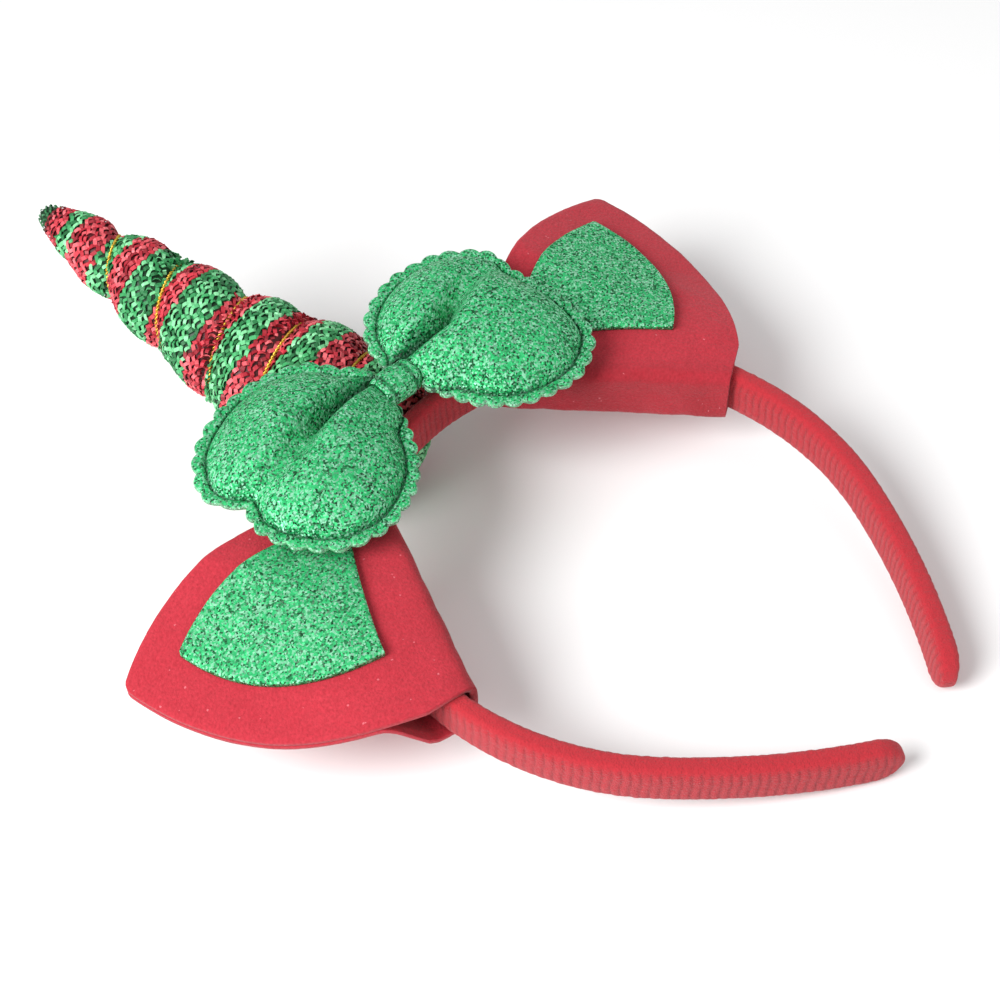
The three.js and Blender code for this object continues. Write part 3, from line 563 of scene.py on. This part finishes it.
def lay_stitches():
    """Height, angle, slant and length of each stitch, in rows up the horn's surface."""
    places, slants, lengths = [], [], []
    profile = np.linspace(0, HORN_LENGTH, 8001)
    travelled = np.concatenate(((0,), np.cumsum(np.hypot(np.diff(profile), np.diff(crest(profile))))))
    for row in range(int((travelled[-1] - 0.8) / STITCH_ROW)):
        reach = (row + 0.5) * STITCH_ROW
        round_way = 2 * math.pi * float(crest(np.interp(reach, travelled, profile)))
        count = max(5, round(round_way / STITCH_PITCH))
        part = (np.arange(count) + 0.5 * (row % 2) + rng.uniform(-0.16, 0.16, count)) / count
        height = np.interp(reach + rng.uniform(-0.2, 0.2, count), travelled, profile)
        places.append(np.stack((height, part * 2 * math.pi), 1))
        slants.append(np.where(np.arange(count) % 2 == 0, 1, -1) * rng.uniform(14, 44, count))
        lengths.append(rng.uniform(0.75, 1.2, count))
    height, angle = np.concatenate(places).T
    return height, angle, np.radians(np.concatenate(slants)), np.concatenate(lengths)


def stitch_lift(height, angle):
    """How far the stitches stand off, where they hide the cord."""
    turn = np.interp(height, turn_height(TURN_TABLE), TURN_TABLE)
    past = (turn - angle / (2 * math.pi)) % 1
    from_cord = np.minimum(past, 1 - past) * HORN_LENGTH / 7
    hides = smooth(np.sin(9.1 * turn + 0.6) + 0.8 * np.sin(23.0 * turn + 2), 0.1, 0.5)
    hides *= smooth(turn, CORD_FIRST, CORD_FIRST + 0.2) * (1 - smooth(turn, CORD_LAST - 0.9, CORD_LAST - 0.5))
    return STITCH_RAISED * hides * np.exp(-(from_cord / 2.4) ** 2)


def stitch_tint(height):
    """Colour of each stitch: its ring's colour, from dark to light at random."""
    red = ring_is_red(height + rng.normal(0, 0.25, len(height)))[:, None]
    bright = rng.random(len(height))[:, None]
    shades = []
    for colours in (((20, 98, 50), (64, 172, 102), (148, 234, 172)), ((138, 18, 34), (206, 44, 62), (250, 116, 124))):
        low, middle, high = (np.array(to_linear(*colour)) for colour in colours)
        shades.append(np.where(bright < 0.5, low + (middle - low) * bright * 2,
                               middle + (high - middle) * (bright * 2 - 1)))
    tint = np.where(red, shades[1], shades[0])
    return np.where((height > DARK_TIP)[:, None], tint * 0.5, tint)


def make_stitches():
    """Shiny tape stitches over the horn: one small bent chip each."""
    h, a, slants, lengths = lay_stitches()
    count = len(h)
    r = horn_radius(h, a) + stitch_lift(h, a)
    step = 0.4
    middle = horn_point(h, a, r)
    beside, above = a + step / np.maximum(r, 1), np.minimum(h + step, HORN_LENGTH)
    round_way = unit(horn_point(h, beside, horn_radius(h, beside)) - middle)
    up_way = unit(horn_point(above, a, horn_radius(above, a)) - middle)
    outward = unit(np.cross(up_way, round_way))
    from_foot = middle - HORN_FOOT
    from_axis = from_foot - (from_foot @ HORN_AXIS)[:, None] * HORN_AXIS
    outward *= np.sign(np.einsum("ij,ij->i", outward, from_axis))[:, None]
    along = unit(np.cos(slants)[:, None] * round_way + np.sin(slants)[:, None] * up_way)
    aside = np.cross(outward, along)
    roll = rng.normal(0, 0.3, count)
    nod = rng.normal(0, 0.14, count)
    face = unit(outward * np.cos(roll)[:, None] + aside * np.sin(roll)[:, None])
    aside = np.cross(face, along)
    along = unit(along + np.tan(nod)[:, None] * face)
    narrow = np.clip(r / 6, 0.45, 1)
    half_long = 1.12 * lengths * narrow
    half_wide = 0.54 * rng.uniform(0.8, 1.15, count) * narrow
    corners = []
    for share, lift in ((-1, -0.3), (-0.45, 0.16), (0.45, 0.2), (1, -0.26)):
        spot = middle + (share * half_long)[:, None] * along + (lift + STITCH_THICK) * face
        for wide, deep in ((-1, 0), (1, 0), (1, -STITCH_THICK), (-1, -STITCH_THICK)):
            corners.append(spot + (wide * half_wide * (1 - 0.18 * abs(share)))[:, None] * aside + deep * face)
    points = seat_on_band(np.stack(corners, 1))
    quads = []
    for section in range(0, 12, 4):
        for side in range(4):
            nxt = (side + 1) % 4
            quads.append((section + side, section + nxt, section + 4 + nxt, section + 4 + side))
    quads += [(3, 2, 1, 0), (12, 13, 14, 15)]
    faces = (np.array(quads)[None] + 16 * np.arange(count)[:, None, None]).reshape(-1, 4)
    piece = add_mesh("horn_stitches", points.reshape(-1, 3), faces, smooth_faces=False)
    paint(piece, np.repeat(stitch_tint(h), 16, axis=0))
    return piece


def make_cord():
    """Two strands twisted together, wound round the horn in its groove."""
    steps, sides, strand, twist_pitch = 1250, 7, 0.31, 2.3
    turn = np.linspace(CORD_FIRST, CORD_LAST, steps)
    height = groove_height(turn)
    radius = crest(height) - groove_depth(height) + GAP + CORD_LIFT + CORD_DIAMETER / 2
    centre = horn_point(height, turn * 2 * math.pi, radius)
    ahead = unit(np.gradient(centre, axis=0))
    run = np.concatenate(((0,), np.cumsum(np.linalg.norm(np.diff(centre, axis=0), axis=1))))
    out = centre - HORN_FOOT
    out -= (out @ HORN_AXIS)[:, None] * HORN_AXIS
    out -= np.einsum("ij,ij->i", out, ahead)[:, None] * ahead
    out = unit(out)
    side_way = np.cross(ahead, out)
    all_points, all_quads, all_caps, start = [], [], [], 0
    for k in range(2):
        twist = run / twist_pitch * 2 * math.pi + k * math.pi
        offset = np.cos(twist)[:, None] * out + np.sin(twist)[:, None] * side_way
        heart = centre + (CORD_DIAMETER / 2 - strand) * offset
        spin = np.arange(sides) / sides * 2 * math.pi
        rings = (heart[:, None] + strand * (np.cos(spin)[None, :, None] * out[:, None]
                                            + np.sin(spin)[None, :, None] * side_way[:, None]))
        points, quads, caps = swept(rings, start)
        all_points.append(points)
        all_quads.append(quads)
        all_caps.append(caps)
        start += len(points)
    return add_mesh("gold_cord", np.concatenate(all_points), np.concatenate(all_quads), np.concatenate(all_caps))


# Ears

FELT_FACE = STRIP_THICK / 2 + GAP + FELT


def foot(length):
    """End of an ear's fold, under the strip at a length from its top."""
    x, y, out_x, out_y = band_point(np.array(length))
    return np.array((float(x), float(y))) - FELT_FACE * np.array((float(out_x), float(out_y)))


FOLD_LOW, FOLD_HIGH = foot(EAR_LOW), foot(EAR_HIGH)
FOLD_LENGTH = float(np.linalg.norm(FOLD_HIGH - FOLD_LOW))
EAR_ALONG = (FOLD_HIGH - FOLD_LOW) / FOLD_LENGTH
EAR_OUT = np.array((EAR_ALONG[1], -EAR_ALONG[0]))
TIP_ALONG = FOLD_LENGTH / 2 + EAR_TIP_SHIFT
FLAT_TIP = 0.02


def arc_between(start, end, bulge, share):
    """Points of an arc that bulges out from the line between two points."""
    start, end = np.array(start, float), np.array(end, float)
    chord = end - start
    half = np.linalg.norm(chord) / 2
    outward = np.array((-chord[1], chord[0])) / np.linalg.norm(chord)
    radius = (half * half + bulge * bulge) / (2 * bulge)
    reach = (2 * share - 1) * half
    rise = np.sqrt(np.maximum(0, radius * radius - reach * reach)) - (radius - bulge)
    return start + share[..., None] * chord + rise[..., None] * outward


def leaf_edge(low, tip_low, tip_high, high, bulge_low, bulge_high, share):
    """Edge of a leaf from its low end over the tip to its high end; the tip may be flat."""
    half = 0.5 if tip_low == tip_high else 0.5 - FLAT_TIP / 2
    first = arc_between(low, tip_low, bulge_low, np.clip(share / half, 0, 1))
    last = arc_between(tip_high, high, bulge_high, np.clip(1 - (1 - share) / half, 0, 1))
    across = np.clip((share - half) / FLAT_TIP, 0, 1)[..., None]
    flat = np.array(tip_low) + across * (np.array(tip_high) - np.array(tip_low))
    return np.where((share <= half)[..., None], first, np.where((share >= 1 - half)[..., None], last, flat))


def ear_front(along, out):
    """Height of an ear's front face."""
    slanted = EAR_TIP_HEIGHT + 0.186 * (EAR_REACH - out) + 0.181 * (along - TIP_ALONG)
    over = STRIP_WIDTH + GAP + FELT
    return over + (np.minimum(slanted, over + 1.2) - over) * smooth(out, 5, 48)


def ear_joined(along, out):
    """From 0 where the strip is between the layers to 1 where they meet."""
    middle = 2 * along / FOLD_LENGTH - 1
    sagitta = CROWN * (1 - math.cos(FOLD_LENGTH / 2 / CROWN))
    face = FELT_FACE + STRIP_THICK / 2 + GAP + sagitta * np.maximum(0, 1 - middle * middle)
    return smooth(out, face + 1, face + 1 + EAR_JOIN)


def on_ear(along, out, height, side):
    spot = FOLD_LOW + along[..., None] * EAR_ALONG + out[..., None] * EAR_OUT
    return np.stack((side * spot[..., 0], spot[..., 1], height), -1)


def make_ear(side, name):
    """An ear and its flat area: front layer, fold round the strip, back layer."""
    columns, rows, bend_rows, wall_rows = 110, 46, 7, 12
    share = np.concatenate(((0, 0.004), np.linspace(0.012, 0.988, columns), (0.996, 1)))
    tip_low, tip_high = TIP_ALONG - EAR_TIP_WIDTH / 2, TIP_ALONG + EAR_TIP_WIDTH / 2
    edge = leaf_edge((-EAR_PAST_LOW, EAR_LOW_OUT), (tip_low, EAR_REACH), (tip_high, EAR_REACH),
                     (FOLD_LENGTH + EAR_PAST_HIGH, EAR_HIGH_OUT), *EAR_BULGES, share)
    fold = FOLD_LENGTH * share
    first = EAR_BEND / edge[:, 1]
    steps = np.concatenate((np.linspace(0, 0.985, rows), (0.995, 1)))
    outer, inner = [], []

    def place_at(reach):
        return fold + (edge[:, 0] - fold) * reach, edge[:, 1] * reach

    def add(reach, z_outer, reach_inner, z_inner):
        outer.append((*place_at(reach), z_outer))
        inner.append((*place_at(reach_inner), z_inner))

    def front_row(step):
        reach = first + (1 - first) * step
        top = ear_front(*place_at(reach))
        round_off = 0.3 * smooth(np.array(step), 0.985, 1.0)
        add(reach, top - round_off, reach, top - FELT + 0.06 + 0.5 * round_off)

    def back_row(step):
        reach = first + (1 - first) * step
        along, out = place_at(reach)
        top = ear_front(along, out)
        low = (-GAP - FELT) + (top - 2 * FELT + GAP + FELT) * ear_joined(along, out)
        round_off = 0.3 * smooth(np.array(step), 0.985, 1.0)
        add(reach, low + round_off, reach, low + FELT - 0.06 - 0.5 * round_off)

    def bend_row(turn, z, way):
        tight = EAR_BEND - FELT
        add((EAR_BEND - EAR_BEND * math.sin(turn)) / edge[:, 1], z + way * EAR_BEND * math.cos(turn),
            (EAR_BEND - tight * math.sin(turn)) / edge[:, 1], z + way * tight * math.cos(turn))

    high = ear_front(fold, np.full_like(share, 1.0)) - EAR_BEND
    low = np.full_like(share, -GAP - FELT + EAR_BEND)
    for step in steps[::-1]:
        front_row(step)
    for turn in np.linspace(0, math.pi / 2, bend_rows + 2)[1:-1]:
        bend_row(turn, high, 1)
    for drop in np.linspace(0, 1, wall_rows):
        z = high + (low - high) * drop
        add(np.zeros_like(share), z, FELT / edge[:, 1], z)
    for turn in np.linspace(math.pi / 2, 0, bend_rows + 2)[1:-1]:
        bend_row(turn, low, -1)
    for step in steps:
        back_row(step)
    outer_skin, inner_skin = (on_ear(*(np.stack([row[k] for row in skin]) for k in range(3)), side)
                              for skin in (outer, inner))
    from_fold = np.stack([row[1] for row in outer])
    wall = np.exp(-(from_fold / 1.5) ** 2)
    waves = np.minimum(0.16 * ripple(outer_skin, 7, 40 + side), 0.12)
    dents = np.abs(ripple(outer_skin, 9, 50 + side)) * 0.45 * wall
    inward = np.array((side * EAR_OUT[0], EAR_OUT[1], 0))
    forward = np.array((0, 0, 1.0))
    shift = waves[..., None] * ((1 - wall)[..., None] * forward) - dents[..., None] * inward
    outer_skin = outer_skin + shift
    outer_skin += 0.05 * ripple(outer_skin, 1.1, 60)[..., None] * forward
    points, quads = two_skins(outer_skin, inner_skin + 0.5 * shift)
    piece = add_mesh(name, points, quads)
    # Painted shade for the felt: strongest at the fold round the strip, fading outward, a little uneven.
    shade = np.exp(-(from_fold / 4.5) ** 2) * (0.75 + 0.25 * ripple(outer_skin, 6, 61 + side))
    value(piece, "fold", np.tile(shade.ravel(), 2))
    return piece, (area_of(outer_skin) + area_of(inner_skin)) / 2 / 1e6


def make_patch(side, name):
    """A patch on the front of an ear, and its flat area."""
    columns, rows = 120, 46
    share = np.linspace(0, 1, columns)
    edge = leaf_edge(PATCH_LOW, PATCH_TIP, PATCH_TIP, PATCH_HIGH, *PATCH_BULGES[:2], share)
    base = arc_between(PATCH_LOW, PATCH_HIGH, PATCH_BULGES[2], share)
    far = np.concatenate(((0, 0.006), np.linspace(0.02, 0.98, rows), (0.994, 1)))[:, None, None]
    spot = base[None] + (edge - base)[None] * far
    along, out = spot[..., 0], spot[..., 1]
    rim = np.minimum(smooth(far[..., 0], 0, 0.02), smooth(1 - far[..., 0], 0, 0.02)) * np.ones_like(along)
    front = ear_front(along, out)
    uneven = 0.12 * ripple(np.stack((along, out, out * 0), -1), 5, 70 + side)
    top = front + GAP + PATCH_THICK - 0.35 * (1 - rim) + uneven - 0.1
    outer, inner = on_ear(along, out, top, side), on_ear(along, out, front + GAP, side)
    points, quads = two_skins(outer, inner)
    piece = add_mesh(name, points, quads)
    return piece, area_of(outer) / 1e6


# Bow

def on_bow(along, up, height):
    """From the bow's own two directions to worn points."""
    c, s = math.cos(BOW_TURN), math.sin(BOW_TURN)
    return np.stack((BOW_CENTRE[0] + c * along - s * up, BOW_CENTRE[1] + s * along + c * up, height), -1)


def support(points):
    """Highest point of the horn and the ears under a point of the bow."""
    x, y = points[..., 0], points[..., 1]
    height = np.full_like(x, STRIP_WIDTH)
    up = (y - HORN_FOOT[1]) / HORN_AXIS[1]
    radius = np.where(up > 0, crest(np.clip(up, 0, HORN_LENGTH)), 0)
    axis_height = HORN_FOOT[2] + up * HORN_AXIS[2]
    over = np.sqrt(np.maximum(0, radius * radius - x * x)) / math.cos(HORN_LEAN)
    height = np.where(np.abs(x) < radius, np.maximum(height, axis_height + over), height)
    spot = np.stack((np.abs(x), y), -1) - FOLD_LOW
    along, out = spot @ EAR_ALONG, spot @ EAR_OUT
    ear = ear_front(along, out) + GAP + FELT
    return np.where((out > -2) & (along > -2), np.maximum(height, ear), height)


def from_valley(side, along, up):
    """Distance from the middle of a loop's valley, and the share of the way from knot to rim."""
    share = np.clip(along / (2 * LOOP_REACH), 0, 1)
    return up - np.interp(share, VALLEY_LINE[side][:, 0], VALLEY_LINE[side][:, 1]), share


def loop_puff(side, along, up, inward):
    """How far a loop is puffed, from 0 to 1; inward is 0 in its middle and 1 at the seam."""
    rounded = np.maximum(0, 1 - inward * inward) ** 0.62
    off, share = from_valley(side, along, up)
    valley = np.exp(-(off / (VALLEY * (0.34 + 0.86 * share))) ** 2)
    deep = 0.9 + (0.32 - 0.9) * smooth(share, 0.1, 0.95)
    fold = 0.34 * np.exp(-np.abs(off) / 0.8) * (1 - smooth(share, 0.3, 0.65))
    return rounded * (1 - np.minimum(1, deep * valley + fold)) * (0.42 + 0.58 * smooth(along, -2, 15))


def loop_outline(side, degrees):
    """Reach of a loop's outline from the loop's centre, in each direction."""
    table = OUTLINE[side]
    end = OUTLINE_START + 360
    fine = np.arange(OUTLINE_START, end, 0.5)
    reach = np.interp(fine, table[:, 0], table[:, 1])
    kernel = np.hanning(13)
    kernel /= kernel.sum()
    reach = np.convolve(np.concatenate((reach[-6:], reach, reach[:6])), kernel, "valid")
    wrapped = (np.asarray(degrees) - OUTLINE_START) % 360 + OUTLINE_START
    return LOOP_RADIUS * np.interp(wrapped, np.append(fine, end), np.append(reach, reach[0]))


def border_width(degrees):
    """Narrower where the loop runs into the knot."""
    return BORDER * (1 - 0.8 * smooth(np.abs((np.asarray(degrees) + 180) % 360 - 180), 150, 166))


def rim_reach(outline, degrees):
    """Reach of the scalloped rim."""
    wave = np.abs(np.sin(math.pi * SCALLOPS * (degrees - OUTLINE_START) / 360)) ** 0.8
    return outline - SCALLOP_DEPTH * (1 - wave)


def make_loop(side):
    """Rings from the middle of a loop's front, over the seam and the rim, to the middle of its back."""
    spokes = 600
    part = np.arange(spokes) / spokes
    degrees = OUTLINE_START + 360 * part
    angle = np.radians(degrees)
    outline = loop_outline(side, degrees)
    seam, rim = outline - border_width(degrees), rim_reach(outline, degrees)
    top, bottom = BOW_HEIGHT + BORDER_THICK / 2, BOW_HEIGHT - BORDER_THICK / 2
    curl = 0.3 * np.sin(2 * math.pi * 5 * part + side) + 0.15 * np.sin(2 * math.pi * 13 * part)
    rows = []

    def spot(reach):
        return LOOP_REACH + np.cos(angle) * reach, np.sin(angle) * reach

    def add(reach, height):
        along, up = spot(reach)
        rows.append(on_bow(side * along, up, height))

    def wrinkles(along, up, share):
        away = np.hypot(along, up - KNOT_RISE)
        turn = np.arctan2(up - KNOT_RISE, along + 4)
        folds = 0.85 * np.exp(-away / 16) * np.sin(9 * turn + 1.3 * side + 0.2 * away)
        flat = np.stack((side * along, up, 0 * up), -1)
        return (folds + 0.55 * ripple(flat, 13, 80 + side) + 0.16 * ripple(flat, 4.2, 83)) * (1 - share ** 4)

    def front(share):
        along, up = spot(seam * share)
        puff = LOOP_FRONT * loop_puff(side, along, up, share)
        return top - 0.1 + puff + wrinkles(along, up, share) * min(1, 6 * (1 - share))

    def back(share):
        along, up = spot(seam * share)
        free = bottom - LOOP_BACK * loop_puff(side, along, up, share)
        rest = np.minimum(bottom, support(on_bow(side * along, up, 0 * up)) + GAP)
        return np.maximum(free, rest)

    for share in 1 - (1 - np.linspace(0.03, 1, 30)) ** 1.5:
        add(seam * share, front(share))
    border = rim - seam
    for share, rise in ((0.05, -0.38), (0.11, -0.42), (0.18, -0.1), (0.3, 0.16), (0.5, 0.2), (0.72, 0.1), (0.9, 0.0)):
        add(seam + border * share, top + rise + curl * share)
    for share, height in ((0.975, top - 0.08), (1, top - 0.3), (1, bottom + 0.3), (0.975, bottom + 0.08)):
        add(seam + border * share, height + curl)
    for share in (0.6, 0.25):
        add(seam + border * share, bottom + curl * share)
    for share in (1 - (1 - np.linspace(0.03, 1, 16)) ** 1.5)[::-1]:
        add(seam * share, back(share))
    return swept(np.stack(rows))


def oval(across, deep, half_length, name):
    """A closed oval rod along the bow, in the knot's place."""
    sides = 96
    spin = np.arange(sides) / sides * 2 * math.pi
    length = np.linspace(-half_length, half_length, 24)[:, None] * np.ones(sides)
    rings = on_bow(length, KNOT_RISE + across * np.cos(spin)[None] * np.ones_like(length),
                   BOW_HEIGHT + deep * np.sin(spin)[None] * np.ones_like(length))
    points, quads, caps = swept(rings)
    return add_mesh(name, points, quads, caps)


def cut(piece, other):
    """Takes the other piece away from this one, and removes the other."""
    step = piece.modifiers.new("cut", "BOOLEAN")
    step.operation, step.object, step.solver = "DIFFERENCE", other, "MANIFOLD"
    bpy.context.view_layer.update()
    made = piece.evaluated_get(bpy.context.evaluated_depsgraph_get())
    data = bpy.data.meshes.new_from_object(made)
    piece.modifiers.clear()
    old = piece.data
    piece.data = data
    bpy.data.meshes.remove(old)
    shape = other.data
    bpy.data.objects.remove(other)
    bpy.data.meshes.remove(shape)


def join(parts, name):
    """One piece from several closed meshes that already lie in place."""
    points, faces, sizes, start = [], [], [], 0
    for part in parts:
        data = part.data
        spots = np.empty(len(data.vertices) * 3, np.float32)
        data.vertices.foreach_get("co", spots)
        corners = np.empty(len(data.loops), np.int32)
        data.loops.foreach_get("vertex_index", corners)
        count = np.empty(len(data.polygons), np.int32)
        data.polygons.foreach_get("loop_total", count)
        points.append(spots.reshape(-1, 3))
        faces.append(corners + start)
        sizes.append(count)
        start += len(data.vertices)
        bpy.data.objects.remove(part)
        bpy.data.meshes.remove(data)
    points, faces, sizes = np.concatenate(points), np.concatenate(faces), np.concatenate(sizes)
    made = bpy.data.meshes.new(name)
    made.vertices.add(len(points))
    made.vertices.foreach_set("co", points.ravel())
    made.loops.add(len(faces))
    made.loops.foreach_set("vertex_index", faces)
    made.polygons.add(len(sizes))
    made.polygons.foreach_set("loop_start", np.concatenate(((0,), np.cumsum(sizes)[:-1])).astype(np.int32))
    made.update(calc_edges=True)
    made.validate()
    piece = bpy.data.objects.new(name, made)
    bpy.context.scene.collection.objects.link(piece)
    return piece


def make_bow():
    loops = []
    for side in (1, -1):
        loop = add_mesh(f"loop_{side}", *make_loop(side))
        cut(loop, oval(KNOT_ACROSS + GAP, 2 * KNOT_DEEP, KNOT_WIDTH / 2 + GAP, "seat"))
        loops.append(loop)
    loops.append(oval(KNOT_ACROSS - KNOT_THICK - GAP, KNOT_DEEP - KNOT_THICK - GAP, KNOT_WIDTH / 2 + 4, "waist"))
    piece = join(loops, "bow_loops")
    for face in piece.data.polygons:
        face.use_smooth = True
    piece.data.set_sharp_from_angle(angle=math.radians(50))
    spots = np.empty(len(piece.data.vertices) * 3, np.float32)
    piece.data.vertices.foreach_get("co", spots)
    along, up = bow_place(spots.reshape(-1, 3) * 1000)
    edge, dark_seams_and_fold_shade = bow_marks(along, up)
    value(piece, "edge", edge)
    value(piece, "dark_seams_and_fold_shade", dark_seams_and_fold_shade)
    return piece


def bow_place(spots):
    """Lying millimetres back to the bow's own two directions."""
    c, s = math.cos(REST_ANGLE), math.sin(REST_ANGLE)
    y, z = spots[:, 1] - REST_SHIFT[1], spots[:, 2] - REST_SHIFT[2]
    x, y = spots[:, 0] - BOW_CENTRE[0], c * y + s * z - BOW_CENTRE[1]
    c, s = math.cos(BOW_TURN), math.sin(BOW_TURN)
    return c * x + s * y, -s * x + c * y


def bow_marks(along, up):
    """Where the pale rim and the dark seams of the bow run, and the painted shade along its valley folds, for its
    material.
    """
    side = np.abs(along)
    angle = np.degrees(np.arctan2(up, side - LOOP_REACH))
    reach = np.hypot(side - LOOP_REACH, up)
    outline = np.where(along > 0, loop_outline(1, angle), loop_outline(-1, angle))
    edge = np.exp(-((reach - rim_reach(outline, angle)) / 0.2) ** 2) * 0.25
    seam = np.exp(-((reach - (outline - border_width(angle)) - 0.25) / 0.32) ** 2) * 0.75
    # Painted shade: a dark band along each loop's valley fold, fading out away from the knot.
    for way in (1, -1):
        off, share = from_valley(way, way * along, up)
        fold = 0.9 * np.exp(-(np.abs(off) / 1.7) ** 1.6) * (1 - smooth(share, 0.2, 0.6))
        seam = np.where(way * along > 0, np.maximum(seam, fold), seam)
    return edge, seam


def make_knot():
    """The strip round the waist of the bow, with a stitched line near each edge."""
    steps, columns = 120, 25
    across = np.concatenate((np.linspace(-1, 1, columns), np.linspace(1, -1, columns)))
    outside = np.arange(2 * columns) < columns
    from_line = np.abs(across) - 0.62
    roll = np.abs(across) ** 6
    rows = []
    for turn in np.arange(steps) / steps * 2 * math.pi:
        creased = -KNOT_THICK * 0.42 * roll - 0.3 * np.exp(-(from_line / 0.09) ** 2)
        uneven = 0.16 * np.sin(3 * across + 2.2 * math.sin(turn) + 1) - 0.16
        lift = np.where(outside, creased + uneven, -KNOT_THICK + 0.35 * KNOT_THICK * roll)
        half = KNOT_WIDTH / 2 * (1 - 0.015 * math.sin(2 * turn + 0.7))
        rows.append(on_bow(across * half, KNOT_RISE + (KNOT_ACROSS + lift) * math.cos(turn),
                           BOW_HEIGHT + (KNOT_DEEP + lift) * math.sin(turn)))
    rings = np.stack(rows)
    sides = 2 * columns
    side = np.arange(sides)
    nxt, last = (side + 1) % sides, (steps - 1) * sides
    closing = np.stack((last + side, last + nxt, nxt, side), 1)
    piece = add_mesh("knot_strip", rings.reshape(-1, 3), np.concatenate((grid_faces(steps, sides, True), closing)))
    value(piece, "edge", np.zeros(steps * sides))
    value(piece, "dark_seams_and_fold_shade", np.tile(np.exp(-(from_line / 0.07) ** 2) * 0.7 * outside, steps))
    return piece


make_stage()
fleece, felt, gold = fleece_material(), felt_material(), gold_material()
# Flake colours dark, middle and light; the light ones are painted glints, and the bow's edge colour is its pale rim.
bow_glitter = glitter_material("glitter_fabric", to_linear(2, 44, 20), to_linear(46, 190, 112),
                               to_linear(176, 255, 214), speck=0.44, tilt=1.35, edge=to_linear(214, 238, 220))
patch_glitter = glitter_material("glitter_foam", to_linear(4, 52, 24), to_linear(50, 190, 114),
                                 to_linear(176, 255, 212), speck=0.44, tilt=1.25)

place(make_headband(), fleece, "fleece", "headband")
horn = make_horn()
place(horn, tinsel_material("tinsel_ground", 0.6), "tinsel", "horn")
place(make_stitches(), tinsel_material("tinsel_tape", 0.25), "tinsel")
place(make_cord(), gold, "gold", "horn_cord")

for side, name in ((1, "right"), (-1, "left")):
    ear, ear_area = make_ear(side, f"ear_felt_{name}")
    place(ear, felt, "felt", f"ear_{name}")
    patch, patch_area = make_patch(side, f"glitter_patch_{name}")
    place(patch, patch_glitter, "glitter", f"ear_patch_{name}")

bow = make_bow()
place(bow, bow_glitter, "glitter", "bow")
knot = make_knot()
place(knot, bow_glitter, "glitter", "bow_knot")
